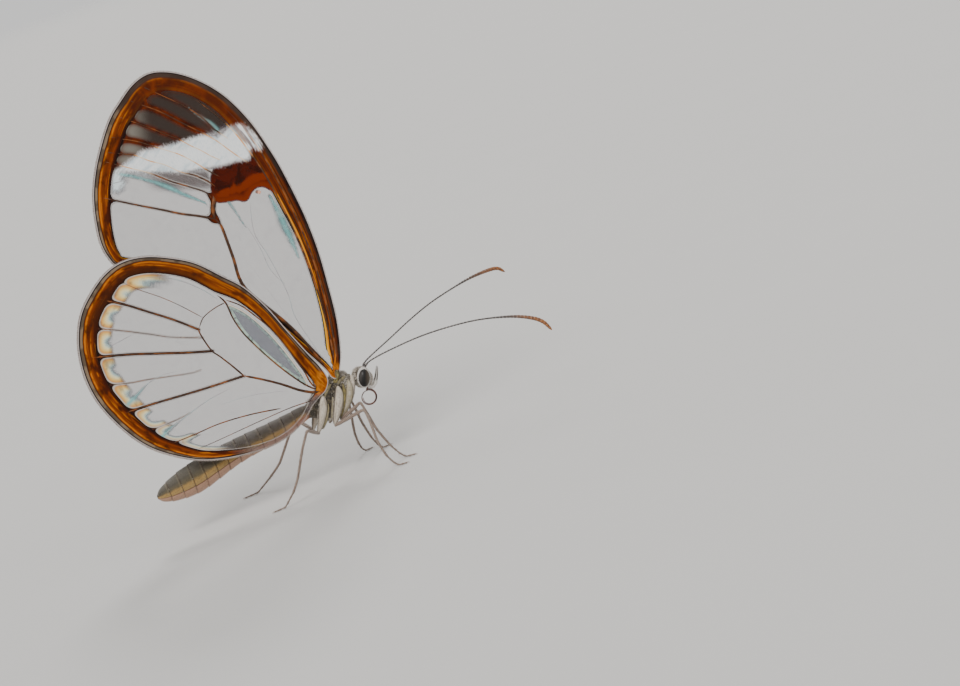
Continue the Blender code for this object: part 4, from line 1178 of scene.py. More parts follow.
def hind_finish(look):
    """The hindwing: a crescent in each window by the amber band, and a long glassy window."""
    paint = WingFinish("hind", look)
    x, z, share, window = paint.x, paint.z, paint.share, paint.window
    # Near the inner edge this ramp holds a painted highlight.
    band = paint.band([
        (0.0, RIM_LINE), (0.05, INK), (0.11, (0.03, 0.012, 0.008)), (0.2, (0.05, 0.016, 0.006)),
        (0.34, (0.1, 0.026, 0.004)), (0.39, INK), (0.46, (0.2, 0.05, 0.004)), (0.66, look.amber),
        (0.84, look.bright), (0.91, look.amber), (0.95, INK), (1.0, INK),
    ])
    lower = share.rise(0.5, 0.72) * share.rise(1.05, 0.98) * x.rise(-4.5, -7.5) * z.rise(17.0, 19.5)
    band = paint.mix(lower * (paint.blot.rise(0.7, 0.45) * 0.4 + 0.5), band, (0.05, 0.011, 0.002))
    band = paint.root_and_bars(band)

    faint, lens = paint.number("faint"), paint.number("lens")
    zone = paint.number("edge").rise(1.3, 0.8) * paint.number("outer")
    comb = paint.noise(paint.joined(paint.along * 16.0, share * 2.0, 1.0), 1.0, 2.0)
    low = z.rise(12.0, 8.0)
    depth = (window + (comb - 0.5) * 0.34 * window.rise(0.2, 0.6)) * (1 + low * 1.2)
    moon = paint.ramp(depth, [
        (0.0, (0.1, 0.08, 0.07)), (0.09, (0.5, 0.42, 0.34)), (0.15, (0.7, 0.32, 0.09)),
        (0.28, (0.84, 0.54, 0.16)), (0.45, (0.9, 0.78, 0.42)), (0.6, (0.56, 0.72, 0.68)),
        (0.8, (0.26, 0.46, 0.53)),
    ])
    moon = paint.mix(low * 0.5, moon, (0.46, 0.5, 0.5))
    shown = depth.rise(0.9, 0.5) * zone * (paint.wander.rise(0.3, 0.5) * 0.4 + 0.6)
    paint.lay(shown, moon, add=shown * 0.88)
    within = lens.rise(-0.02, 0.05)
    paint.lay(within * 0.9, (0.1, 0.12, 0.17), add=within * 0.24)
    # Painted teal sheen along the rim of the long window, stronger on one side.
    near_side = (x * 0.9 + z * 0.4).rise(3.2, 0.6)
    lens_sheen = lens.line(0.2, 0.15) * (near_side * 0.75 + 0.25) * paint.grain.rise(0.2, 0.55)
    paint.lay(lens_sheen, (0.52, 0.68, 0.58), add=lens_sheen * 0.6)
    cream = lens.line(0.05, 0.065)
    paint.lay(cream, (0.74, 0.66, 0.53), add=cream * 0.7)
    in_band = paint.crisp * (1 - faint * 0.75)
    band = paint.mix(faint * 0.8, band, (0.3, 0.26, 0.2))
    paint.lay_band(window.line(0.06, 0.045) * 0.45, band, in_band, faint)
    return paint.done(in_band, 0.2 + in_band * 0.18, 1 - faint)


def vein_finish(name, base, warm, solid=1.0):
    """Horny brown veins with warm lights along them and fine cross rings, golden over the white band; the
    golden tone there and the lighter crests are painted highlights.
    """
    paint = Finish(name, IOR=1.45, Specular_IOR_Level=0.35, Alpha=solid)
    place = paint.place()
    patchy = paint.noise(place, 1.1, 3.0)
    colour = paint.mix(patchy.rise(0.45, 0.65), base, warm)
    # Over the white band the veins turn golden: a painted highlight there.
    gold_highlight = paint.mix(patchy.rise(0.42, 0.55), (0.95, 0.42, 0.1), (1.0, 0.8, 0.58))
    colour = paint.mix(paint.number("light"), colour, gold_highlight)
    # Painted highlight on the dark veins: lighter and warmer along the crests that face out of and into the
    # wing.
    colour = paint.mix(paint.number("turn").size().rise(0.7, 1.0) * 0.15, colour, (0.3, 0.13, 0.05))
    height = (paint.number("run") * 40.0).wave() * 0.4 + paint.noise(place, 20.0, 2.0) * 0.6
    return paint.set(Base_Color=colour, Roughness=0.36 + patchy * 0.15, Normal=paint.bump(height, 0.3, 0.02))


def scale_finish(name, dark, light):
    """Tufts whose tips are lighter than their roots, each a little different."""
    paint = Finish(name, IOR=1.45, Sheen_Weight=0.3)
    shade, tip = paint.number("shade"), paint.number("tip")
    colour = paint.mix(tip * 0.55 + shade * 0.45, dark, light)
    return paint.set(Base_Color=colour, Roughness=0.45 + shade * 0.25)


# Each pair's outline, middle, layer, veins, creases, numbers, finish, fringe, the veins' share of
# their full thickness and the outline inside which they are pale.
WINGS = {
    "fore": (
        FORE_OUTLINE, FORE_MIDDLE, fore_layer, FORE_VEINS, FORE_CREASES, fore_numbers, fore_finish,
        FORE_FRINGE, 1.0, FORE_WHITE,
    ),
    "hind": (
        HIND_OUTLINE, HIND_MIDDLE, hind_layer, HIND_VEINS, HIND_CREASES, hind_numbers, hind_finish,
        HIND_FRINGE, HIND_VEIN_SHARE, None,
    ),
}


def wing_pair(kind, look):
    """Both wings of one pair: film, veins, creases and fringe."""
    outline, middle, layer, veins, creases, numbers_of, finish_of, marks, thickness, pale = WINGS[kind]
    rim, rings = wing_plan(outline, middle)
    numbers = numbers_of(rings.reshape(-1, 2), rim)
    skin = finish_of(look)
    horn = vein_finish(f"{kind}_veins", (0.03, 0.012, 0.006), (0.24, 0.07, 0.012))
    # The creases' pale grey and teal are painted highlights: light caught along the folds.
    crease_highlight = vein_finish(f"{kind}_creases", (0.55, 0.52, 0.55), (0.55, 0.7, 0.72), 0.5)
    hairs = scale_finish(f"{kind}_fringe", (0.14, 0.1, 0.085), (0.56, 0.49, 0.44))
    lines = [to_rim(line, rim) if key in NET else line for key, line in veins.items()]
    for side in SIDES:
        name = f"{kind}wing_{side}"
        make(name + "_film", film(rings, side, layer, numbers), skin, [name])
        tubes = wing_lines(lines, side, layer, look.vein_scale * thickness, pale)
        make(name + "_veins", tubes, horn)
        make(name + "_creases", wing_lines(creases, side, layer), crease_highlight)
        hair = fringe(rim, side, layer, marks, look.fringe / MM, SEED + SIDES[side])
        make(name + "_fringe", hair, hairs, coat=True)


# ---------------------------------------------------------------- body
def body_line():
    """The body's stations as a fine line, and the way along it."""
    line = smooth(BODY, 10)
    run = np.concatenate([[0], np.cumsum(np.abs(np.diff(line[:, 0])) + 0.35 * np.abs(np.diff(line[:, 2])))])
    return line, run


def ring_phase(x):
    """How many of the hind body's rings lie in front of x."""
    return (x - ABDOMEN_FRONT) / (ABDOMEN_BACK - ABDOMEN_FRONT) * SEGMENTS


def body_points(share, turn):
    """The body's skin: an oval ring, with the hind body's rings stepped like overlapping plates, the
    back's two humps with a groove between them."""
    line, run = body_line()
    x, mid, high, wide = (np.interp(share * run[-1], run, column) for column in line.T)
    step = ring_phase(x) % 1.0
    tail = step01((ABDOMEN_FRONT - x) / 0.8) * step01((x - ABDOMEN_BACK) / 0.6)
    swell = tail * (0.045 * (step - 0.5) - 0.03 * np.exp(-(((step - 0.02) / 0.06) ** 2)))
    chest = np.exp(-(((x + 0.1) / 1.3) ** 2))
    groove = -0.1 * chest * np.exp(-((np.cos(turn) / 0.16) ** 2)) * (np.sin(turn) > 0)
    grow = swell + groove
    return np.stack([x, (wide + grow) * np.cos(turn), mid + (high + grow) * np.sin(turn)], axis=-1)


def body_skin():
    """Rings of the body's skin from face to tail."""
    share, turn = np.linspace(0, 1, BODY_RINGS), np.linspace(0, 2 * np.pi, BODY_SIDES, endpoint=False)
    share, turn = (a.ravel() for a in np.meshgrid(share, turn, indexing="ij"))
    points = body_points(share, turn)
    flat = np.zeros(len(points))
    values = {"turn": np.sin(turn), "phase": ring_phase(points[:, 0]), "plate": flat, "pale": flat}
    return surface(points.reshape(BODY_RINGS, BODY_SIDES, 3), values)


def plate(marks, sign, pale):
    """A side plate or coxa: a flat oval section carried down its middle line, round at both ends."""
    fine = even(smooth(np.array(marks) * (1, sign, 1, 1, 1), 10), PLATE_RINGS, dims=3)
    order = np.arange(PLATE_RINGS)
    to_end = np.clip(np.minimum(order, order[::-1]) / 4.0, 0, 1)
    fine[:, 3:] *= np.maximum(np.sqrt(1 - (1 - to_end) ** 2), 0.12)[:, None]
    made = tube(fine[:, :3], fine[:, 3], PLATE_SIDES, flat=fine[:, 4], aside=OUTWARDS)
    count = len(made["points"])
    turn = np.linspace(0, 2 * np.pi, PLATE_SIDES, endpoint=False)
    made["values"] = {
        "turn": np.concatenate([np.tile(np.cos(turn), PLATE_RINGS), [0, 0]]),
        "phase": np.append(np.repeat(np.linspace(0, 1, PLATE_RINGS), PLATE_SIDES), [0, 1]),
        "plate": np.ones(count), "pale": np.full(count, pale),
    }
    return made


def body_finish(look):
    """Cream and olive side plates with dark seams, an olive-grey back, tan flanks, a pinkish belly."""
    paint = Finish("body_skin", IOR=1.45, Specular_IOR_Level=0.3, Sheen_Weight=0.12, Sheen_Roughness=0.5)
    place = paint.place()
    turn, phase = paint.number("turn"), paint.number("phase")
    on_plate, olive = paint.number("plate"), paint.number("pale")
    x, y, z = (paint.axis(place, index) for index in range(3))
    scales = paint.cells(paint.joined(x * 9.0, y * 14.0, z * 14.0), 1.0)
    mottle = paint.noise(place, 2.6, 4.0, 0.6)
    level = turn + (mottle - 0.5) * 0.2 * turn.rise(-0.3, 0.1)
    # The lightest pink at the very bottom of the hind body is a painted highlight along the belly's lower
    # edge.
    abdomen = paint.ramp(level * 0.5 + 0.5, [
        (0.0, (0.62, 0.4, 0.32)), (0.08, look.belly), (0.3, look.belly), (0.33, (0.12, 0.05, 0.025)),
        (0.36, look.flank), (0.5, (0.36, 0.22, 0.07)), (0.6, (0.11, 0.085, 0.045)), (0.76, look.back),
        (1.0, (0.13, 0.12, 0.1)),
    ])
    abdomen = paint.mix(x.rise(-5.5, -2.8) * turn.rise(0.1, -0.3) * 0.6, abdomen, (0.55, 0.2, 0.1))
    fleck = paint.noise(paint.joined(x * 2.0, y * 9.0, z * 9.0), 1.0, 3.0)
    abdomen = paint.mix(fleck.rise(0.52, 0.72) * 0.4 * turn.rise(-0.4, 0.2), abdomen, (0.045, 0.036, 0.025))
    seam = (phase * math.pi).wave().size().rise(0.13, 0.03)
    abdomen = paint.mix(seam * turn.rise(-1.2, -0.2) * 0.8, abdomen, (0.06, 0.035, 0.02))
    after = (phase * math.pi + 2.75).wave().size().rise(0.25, 0.05)
    abdomen = paint.mix(after * 0.15, abdomen, (0.4, 0.33, 0.2))
    chest = paint.mix(mottle.rise(0.4, 0.65), (0.02, 0.015, 0.01), (0.1, 0.08, 0.05))
    chest = paint.mix(turn.rise(0.7, 0.98) * 0.6, chest, (0.24, 0.21, 0.16))
    head = paint.mix((z + (mottle - 0.5) * 0.6).rise(6.9, 5.9), (0.09, 0.072, 0.055), (0.42, 0.38, 0.33))
    skin = paint.mix(x.rise(-2.2, -2.6), chest, abdomen)
    skin = paint.mix(x.rise(1.95, 2.2), skin, head)
    hairy = paint.noise(paint.joined(turn * 4.5, phase * 3.2, x * 2.0), 1.0, 4.0, 0.65)
    plates = paint.mix(hairy.rise(0.42, 0.7) * 0.85, tuple(look.plate), (0.25, 0.19, 0.135))
    olive_scales = paint.mix(hairy.rise(0.38, 0.62), (0.08, 0.06, 0.014), (0.42, 0.34, 0.13))
    plates = paint.mix(olive, plates, olive_scales)
    middle = turn.size().rise(0.45, 0.1) * mottle.rise(0.6, 0.45)
    plates = paint.mix(middle * 0.55 * (1 - olive), plates, (0.78, 0.72, 0.62))
    plates = paint.mix(turn.size().rise(0.6, 0.93) * 0.92, plates, (0.025, 0.018, 0.012))
    colour = paint.mix(on_plate, skin, plates)
    colour = paint.mix(scales.rise(0.4, 0.8) * 0.22, colour, (0.04, 0.03, 0.022))
    height = scales * 0.2 + mottle * 0.3 + hairy * 0.9
    return paint.set(Base_Color=colour, Roughness=0.5 + mottle * 0.25, Normal=paint.bump(height, 0.7, 0.07))


def skin_tufts(hair, step, count, back, front, low, high, length, width, lift, light, way):
    """Tufts rooted over a stretch of the body's skin, lying back along it."""
    rng = np.random.default_rng(SEED + step)
    line, run = body_line()
    ends = np.interp([-front, -back], -line[:, 0], run) / run[-1]
    share = rng.uniform(*ends, count)
    turn = np.radians(rng.uniform(low, high, count))
    here, ahead = body_points(share, turn), body_points(share + 0.002, turn)
    beside = body_points(share, turn + 0.02)
    along = unit(ahead - here)
    out = unit(np.cross(along, unit(beside - here)))
    out *= np.sign((out * np.stack([np.zeros(count), np.cos(turn), np.sin(turn)], 1)).sum(1))[:, None]
    along = unit(along * way + 0.25 * rng.normal(size=(count, 3)))
    along = unit(along - out * (along * out).sum(axis=1)[:, None])
    heading = unit(along + out * rng.uniform(0.3, 1.0, count)[:, None] * lift)
    lengths = hair * length * rng.uniform(0.6, 1.3, count)
    spots = np.stack([(turn / (2 * np.pi)) % 1.0, share], axis=1)
    values = {"shade": rng.random(count), "back": np.sin(turn), "light": np.full(count, light)}
    bend = rng.uniform(-0.35, 0.05, count)
    return blades(here - out * 0.02, heading, out, lengths, width, bend, spots, values)


def coat_finish():
    """Hair-like scales: dusky olive on the chest's grooves and back, cream where they are light."""
    paint = Finish("coat_scales", IOR=1.45, Specular_IOR_Level=0.3, Sheen_Weight=0.2, Sheen_Roughness=0.4)
    shade, tip, back = paint.number("shade"), paint.number("tip"), paint.number("back")
    dusk = paint.mix(shade.rise(0.2, 0.9), (0.025, 0.02, 0.014), (0.2, 0.17, 0.115))
    dusk = paint.mix(tip * 0.35, dusk, (0.34, 0.3, 0.22))
    cream = paint.mix(shade, (0.4, 0.34, 0.27), (0.86, 0.8, 0.72))
    colour = paint.mix(paint.number("light"), dusk, cream)
    colour = paint.mix(back.rise(0.2, 0.9) * 0.15, colour, (0.07, 0.06, 0.045))
    return paint.set(Base_Color=colour, Roughness=0.45 + shade * 0.25)


def body_group(look):
    """The one skin of head, chest and hind body with its side plates, and the coat of scales."""
    plates = [
        plate(marks, sign, TONES.get(name, 0.0)) for sign in SIDES.values() for name, marks in PLATES.items()
    ]
    skin = joined([body_skin(), *plates])
    make("body_skin", skin, body_finish(look), ["thorax", "abdomen", "head"], coat=True)
    finish = coat_finish()
    for name, stretches in COATS.items():
        tufts = [skin_tufts(look.hair / MM, *stretch) for stretch in stretches]
        make(name, joined(tufts), finish, coat=True)
    make("coat_plates", plate_tufts(), finish, coat=True)


def plate_tufts():
    """A comb of fine scales down both edges of each side plate, and a few on its face."""
    rng = np.random.default_rng(SEED + 20)
    parts, count = [], PLATE_SCALES
    for sign in SIDES.values():
        for name, marks in PLATES.items():
            line = even(smooth(np.array(marks) * (1, sign, 1, 1, 1), 10), 60, dims=3)
            along, other, across = square_to(line[:, :3], OUTWARDS * sign)
            pick = rng.uniform(3, 56, count)
            row = pick.astype(int)
            on_edge, edge = rng.random(count) < 0.6, rng.choice([0, np.pi], count)
            angle = np.where(on_edge, edge, rng.uniform(0, np.pi, count)) + rng.normal(0, 0.12, count)
            aside, outside = across[row] * np.cos(angle)[:, None], other[row] * np.sin(angle)[:, None]
            out = unit(aside + outside)
            root = line[row, :3] + aside * line[row, 3:4] + outside * line[row, 4:5]
            root += along[row] * (pick - row)[:, None] * np.linalg.norm(line[1, :3] - line[0, :3])
            heading = unit(along[row] + out * rng.uniform(0.2, 0.7, count)[:, None])
            spots = np.stack([rng.uniform(0.02, 0.98, count), rng.uniform(0.02, 0.98, count)], axis=1)
            light, long = (0.95, 1.5) if name == "collar" else (0.75 * (1 - TONES.get(name, 0.0)), 1.0)
            back, light = np.full(count, -0.5), np.full(count, light)
            values = {"shade": rng.random(count), "back": back, "light": light}
            lengths = rng.uniform(0.08, 0.2, count) * long
            parts.append(blades(root - out * 0.015, heading, out, lengths, 0.015, -0.2, spots, values))
    return joined(parts)


# ---------------------------------------------------------------- head parts
def eye_place(sign, lift, turn, grow=0.0):
    """A dome: centre + (size + grow) * (cos lift cos turn, sin lift, cos lift sin turn), leaning
    forwards."""
    u = (EYE_SIZE[0] + grow) * np.cos(lift) * np.cos(turn)
    v = (EYE_SIZE[2] + grow) * np.cos(lift) * np.sin(turn)
    w = (EYE_SIZE[1] + grow) * np.sin(lift) * np.ones_like(turn)
    x = EYE_AT[0] + u * math.cos(EYE_LEAN) + v * math.sin(EYE_LEAN)
    z = EYE_AT[2] - u * math.sin(EYE_LEAN) + v * math.cos(EYE_LEAN)
    return np.stack([x, sign * (EYE_AT[1] + w), z], axis=-1)


def eye_surface(sign):
    """The eye's dome from under its rim to its middle."""
    lift = np.radians(np.linspace(-35, 89, 34))[:, None]
    return surface(eye_place(sign, lift, np.linspace(0, 2 * np.pi, 64, endpoint=False)[None, :]))


def eye_finish():
    """A dark grey-brown eye with fine facets and smoky upright bands."""
    paint = Finish("eye_facets", IOR=1.5, Specular_IOR_Level=0.25, Coat_Weight=0.12, Coat_Roughness=0.12)
    place = paint.place()
    x, z = paint.axis(place, 0), paint.axis(place, 2)
    bands = paint.noise(place, 1.2, 2.0, 0.5, 0.4)
    across = x - z * 0.32 + (bands - 0.5) * 0.3
    colour = paint.ramp((across - 0.05) * 0.9, [
        (0.0, (0.075, 0.07, 0.068)), (0.22, (0.05, 0.045, 0.042)), (0.4, (0.014, 0.012, 0.012)),
        (0.58, (0.01, 0.009, 0.009)), (0.78, (0.05, 0.036, 0.024)), (1.0, (0.09, 0.07, 0.05)),
    ])
    facets = paint.cells(place, 26.0)
    return paint.set(Base_Color=colour, Roughness=0.3 + facets * 0.2, Normal=paint.bump(facets, 0.4, 0.015))


def eye_rim(sign, seed):
    """A ring of white scales laid outwards round the eye, in overlapping rows."""
    rng = np.random.default_rng(seed)
    turn = rng.uniform(0, 2 * np.pi, EYE_SCALES)
    row = rng.integers(0, len(EYE_ROWS), EYE_SCALES)
    lift = np.radians(EYE_ROWS[row] + rng.normal(0, 2.5, EYE_SCALES))
    swell = EYE_SWELL[row] * (0.5 + step01(0.6 - 0.7 * np.cos(turn - 3.6)))
    root, outer = eye_place(sign, lift, turn, swell), eye_place(sign, lift, turn, swell + 0.1)
    lower = eye_place(sign, lift - 0.05, turn, swell)
    out = unit(outer - root)
    heading = unit(unit(lower - root) + out * rng.uniform(0.15, 0.5, EYE_SCALES)[:, None])
    spots = np.stack([turn / (2 * np.pi), 0.3 + 0.1 * row], axis=1)
    values = {"shade": rng.random(EYE_SCALES)}
    return blades(root, heading, out, rng.uniform(0.09, 0.15, EYE_SCALES), 0.02, -0.2, spots, values)


def limb_tufts(line, radii, count, length, width, lift, seed, rows=None, aside=None):
    """Scales or spines along a tube, pointing towards its tip, all round it or at the angles in rows."""
    rng = np.random.default_rng(seed)
    along, other, across = square_to(line, aside)
    row = rng.integers(2, len(line) - 2, count)
    if rows is None:
        turn = rng.uniform(0, 2 * np.pi, count)
    else:
        turn = rng.choice(rows, count) + rng.normal(0, 0.25, count)
    out = across[row] * np.cos(turn)[:, None] + other[row] * np.sin(turn)[:, None]
    root = line[row] + out * (radii[row] * 0.9)[:, None]
    root += along[row] * rng.uniform(-0.05, 0.05, count)[:, None]
    heading = unit(along[row] + out * lift * rng.uniform(0.5, 1.2, count)[:, None])
    spots = np.stack([turn / (2 * np.pi) % 1.0, row / len(line)], axis=1)
    values = {"shade": rng.random(count)}
    return blades(root, heading, out, length * rng.uniform(0.6, 1.3, count), width, -0.1, spots, values)


def palp_finish():
    """White palps with a dark stripe up each face."""
    paint = Finish("palp_skin", IOR=1.45, Sheen_Weight=0.3)
    place = paint.place()
    stripe = paint.number("front").size().rise(0.75, 0.45) * paint.axis(place, 2).rise(5.95, 6.2)
    mottle = paint.noise(place, 8.0, 3.0)
    tone = paint.mix(stripe, (0.72, 0.69, 0.64), (0.06, 0.05, 0.046))
    tone = paint.mix(mottle.rise(0.5, 0.8) * 0.4, tone, (0.3, 0.27, 0.24))
    return paint.set(Base_Color=tone, Roughness=0.5 + mottle * 0.2, Normal=paint.bump(mottle, 0.5, 0.03))


def palp(side, skin, white, dark):
    """One palp: a bent stem with pale scales along its edges and dark ones on its faces."""
    sign = SIDES[side]
    line = even(smooth(np.array(PALP) * (1, sign, 1), 14), PALP_STEPS)
    radii = girth(PALP_GIRTH, np.linspace(0, 1, PALP_STEPS))
    stem = tube(line, radii, 24, flat=radii * 0.7, aside=OUTWARDS)
    make(f"palp_{side}_stem", stem, skin, [f"palp_{side}"])
    edges = joined([
        limb_tufts(line, radii, 230, 0.1, 0.01, 0.25, SEED + 40 + sign, [0.0, -0.4, 0.4, np.pi], OUTWARDS),
        limb_tufts(line[:34], radii[:34], 120, 0.1, 0.01, 0.2, SEED + 46 + sign, [1.5, -1.5], OUTWARDS),
    ])
    flanks = [np.pi / 2, -np.pi / 2]
    faces = limb_tufts(line[36:], radii[36:], 60, 0.08, 0.01, 0.12, SEED + 43 + sign, flanks, OUTWARDS)
    make(f"palp_{side}_pale_scales", edges, white, coat=True)
    make(f"palp_{side}_dark_scales", faces, dark, coat=True)


def drinking_tube():
    """The rolled tube: centre + reach * (cos turn, sin turn), with the reach and the tube's own
    girth growing smaller as it turns."""
    share = np.linspace(0, 1, 260)
    start, end = np.radians(COIL_TURNS)
    turn = start + (end - start) * share
    reach = COIL_RADII[0] + (COIL_RADII[1] - COIL_RADII[0]) * share
    line = [COIL_AT[0] + reach * np.cos(turn), 0.05 - 0.16 * share, COIL_AT[1] + reach * np.sin(turn)]
    line = even(smooth(np.vstack([COIL_ROOT, np.stack(line, axis=1)[::6]]), 6), COIL_STEPS)
    radii = np.linspace(*COIL_GIRTH, COIL_STEPS)
    paint = Finish("drinking_tube", IOR=1.5, Coat_Weight=0.3)
    rings = (paint.number("run") * 55.0).wave()
    patchy = paint.noise(paint.place(), 2.0, 2.0)
    tone = paint.mix(patchy.rise(0.4, 0.6), (0.06, 0.02, 0.014), (0.17, 0.07, 0.05))
    skin = paint.set(Base_Color=tone, Roughness=0.35 + rings * 0.05, Normal=paint.bump(rings, 0.5, 0.02))
    make("drinking_tube", tube(line, radii, 20, flat=radii * 0.8), skin, ["proboscis"])


def head_group():
    """Eyes with their white rims, palps and the rolled drinking tube."""
    facets, white = eye_finish(), scale_finish("eye_rim_scales", (0.5, 0.46, 0.42), (0.85, 0.83, 0.8))
    dark = scale_finish("palp_dark_scales", (0.02, 0.017, 0.015), (0.12, 0.1, 0.09))
    stem = palp_finish()
    for side, sign in SIDES.items():
        make(f"eye_{side}_globe", eye_surface(sign), facets, [f"eye_{side}"])
        make(f"eye_{side}_rim", eye_rim(sign, SEED + 30 + sign), white, coat=True)
        palp(side, stem, white, dark)
    drinking_tube()


def antenna_finish():
    """Dark rods with a pale speck at each joint and an orange-brown club."""
    paint = Finish("antenna_rod", IOR=1.5, Coat_Weight=0.15)
    run, share = paint.number("run"), paint.number("share")
    place = paint.place()
    joint = (run * 22.0).wave()
    mottle = paint.noise(place, 6.0, 3.0)
    rod = paint.mix(joint.rise(0.55, 0.95) * mottle.rise(0.3, 0.6), (0.05, 0.042, 0.04), (0.26, 0.225, 0.205))
    club = paint.mix(mottle.rise(0.3, 0.7), (0.12, 0.04, 0.012), (0.36, 0.13, 0.03))
    colour = paint.mix(share.rise(0.72, 0.95), rod, club)
    return paint.set(Base_Color=colour, Roughness=0.42 + mottle * 0.2, Normal=paint.bump(joint, 0.5, 0.03))


def antenna_group():
    """Both feelers, each with a scape at its root and a club at its tip."""
    rod = antenna_finish()
    for name, marks in ANTENNAE.items():
        sign = SIDES[name.rsplit("_", 1)[1]]
        line = even(smooth(np.array(marks) * (1, sign, 1), 30), ANTENNA_STEPS)
        share = np.linspace(0, 1, ANTENNA_STEPS)
        radii = girth(ANTENNA_GIRTH, share) * (1 + 0.06 * np.sin(share * ANTENNA_STEPS * 0.9))
        made = tube(line, radii, ANTENNA_SIDES)
        made["values"]["share"] = np.concatenate([np.repeat(share, ANTENNA_SIDES), [0, 1]])
        make(name + "_rod", made, rod, [name])


# ---------------------------------------------------------------- legs
def leg_finish():
    """Slim grey-tan legs with lengthwise rows of scales that wind a little round them."""
    paint = Finish("leg_scales", IOR=1.48, Sheen_Weight=0.2)
    run, wind = paint.number("run"), paint.number("wind")
    place = paint.place()
    rows = (wind * WHOLE_TURN * 8.0 + run * 6.0).wave()
    mottle = paint.noise(place, 5.0, 3.0)
    colour = paint.mix(rows.rise(-0.5, 0.7), (0.15, 0.1, 0.075), (0.4, 0.305, 0.245))
    colour = paint.mix(mottle.rise(0.45, 0.8) * 0.5, colour, (0.15, 0.08, 0.052))
    height = rows * 0.6 + mottle * 0.4
    return paint.set(Base_Color=colour, Roughness=0.45 + mottle * 0.2, Normal=paint.bump(height, 0.6, 0.03))


def leg_line(marks):
    """A leg's middle line: nearly straight between its joints, with short rounded bends."""
    corners = [marks[0]]
    for before, here, after in zip(marks, marks[1:], marks[2:]):
        corners += [here + (before - here) * 0.16, here + (after - here) * 0.16]
    return even(smooth(np.array([*corners, marks[-1]]), 12), LEG_STEPS)


def claws(line):
    """The pair of claws at a leg's end, each a fine tube that bends out, up and down again."""
    toe, heading = line[-1], unit(line[-1] - line[-12])
    side = unit(np.cross(heading, [0.0, 0.0, 1.0]))
    t = np.linspace(0, 1, CLAW_STEPS)[:, None]
    parts = []
    for way in (-1, 1):
        bend = toe + heading * (0.2 * t) + side * way * (0.03 + 0.1 * t)
        bend += np.array([0, 0, 0.03]) * np.sin(np.pi * t)
        bend[:, 2] = np.maximum(bend[:, 2] - 0.05 * t[:, 0] ** 2, 0.022)
        claw = tube(bend, np.linspace(0.026, 0.006, CLAW_STEPS), 10)
        claw["values"]["wind"] = np.zeros(len(claw["points"]))
        parts.append(claw)
    return parts


def leg_group():
    """Six legs with tarsal joints, a pair of claws each and rows of small spines."""
    skin = leg_finish()
    spines = scale_finish("leg_spines", (0.05, 0.038, 0.03), (0.3, 0.25, 0.21))
    for order, (name, marks) in enumerate(LEGS.items()):
        marks = np.array(marks, float) * (1, SIDES[name.rsplit("_", 1)[1]], 1)
        line = leg_line(marks)
        run = run_along(line)
        knee, heel = (run[np.linalg.norm(line - marks[joint], axis=1).argmin()] / run[-1] for joint in (2, 5))
        at = np.interp(np.linspace(0, 1, LEG_STEPS), [0, knee, heel, 1], [0, 0.3, 0.63, 1.0])
        beads = 1 + 0.16 * (at > 0.64) * np.cos((at - 0.64) / 0.36 * 5 * 2 * np.pi)
        radii = girth(LEG_GIRTH, at) * beads
        line[:, 2] = np.maximum(line[:, 2], radii + 0.004)
        limb = tube(line, radii, LEG_SIDES)
        wind = np.tile(np.arange(LEG_SIDES) / LEG_SIDES, LEG_STEPS)
        limb["values"]["wind"] = np.concatenate([wind, [0, 0]])
        make(name + "_limb", joined([limb, *claws(line)]), skin, [name])
        tufts = joined([
            limb_tufts(line[:240], radii[:240], 420, 0.13, 0.012, 0.35, SEED + 60 + order),
            limb_tufts(line[90:240], radii[90:240], 46, 0.24, 0.014, 0.9, SEED + 70 + order),
        ])
        tufts["points"][:, 2] = np.maximum(tufts["points"][:, 2], 0.003)
        make(name + "_spines", tufts, spines, coat=True)


# ---------------------------------------------------------------- stage
def turned(right, up, back, place):
    """The matrix that stands a lamp or camera at a place with these directions."""
    turn = Matrix(np.stack([right, up, back], axis=1).tolist()).to_4x4()
    return Matrix.Translation(np.array(place, float) * MM) @ turn


def stage_floor(look):
    """A level disc, reach * share^3 out from the middle, that fades out far away."""
    out = FLOOR_REACH * np.linspace(0, 1, FLOOR_RINGS)[1:, None] ** 3.0
    turn = np.linspace(0, 2 * np.pi, FLOOR_SIDES, endpoint=False)
    level = np.zeros((FLOOR_RINGS - 1, FLOOR_SIDES))
    rows = np.stack([out * np.cos(turn), out * np.sin(turn), level], axis=-1)
    paint = Finish("studio_floor", Roughness=0.75)
    here = paint.place()
    far = paint.add("ShaderNodeVectorMath", {"operation": "LENGTH"}, {0: here}, output="Value")
    tone = paint.mix(paint.noise(here, 0.08, 4.0), tuple(look.floor), tuple(c * 0.97 for c in look.floor))
    mesh = bpy.data.meshes.new("studio_floor")
    flat = surface(rows, caps=(True, False))
    mesh.from_pydata((flat["points"] * MM).tolist(), [], [f.tolist() for part in flat["faces"] for f in part])
    mesh.materials.append(paint.set(Base_Color=tone, Alpha=far.rise(8600.0, 2500.0)))
    if mesh.polygons[0].normal.z < 0:
        mesh.flip_normals()
    floor = bpy.data.objects.new("studio_floor", mesh)
    bpy.context.scene.collection.objects.link(floor)


def stage_lights(look):
    """An even pale sky and two soft lamps."""
    scene = bpy.context.scene
    scene.world = bpy.data.worlds.new("studio_sky")
    scene.world.use_nodes = True
    sky = scene.world.node_tree.nodes["Background"].inputs
    sky["Color"].default_value = (*look.sky, 1.0)
    sky["Strength"].default_value = SKY_STRENGTH
    for name, (place, width, power) in LAMPS.items():
        lamp = bpy.data.lights.new(name, "SUN")
        lamp.angle, lamp.energy, lamp.color = math.radians(width), power, LAMP_COLOUR
        aim = unit(-np.array(place, float))
        across = unit(np.cross(aim, [0, 0, 1.0]))
        made = bpy.data.objects.new(name, lamp)
        made.matrix_world = turned(across, np.cross(across, aim), -aim, place)
        scene.collection.objects.link(made)


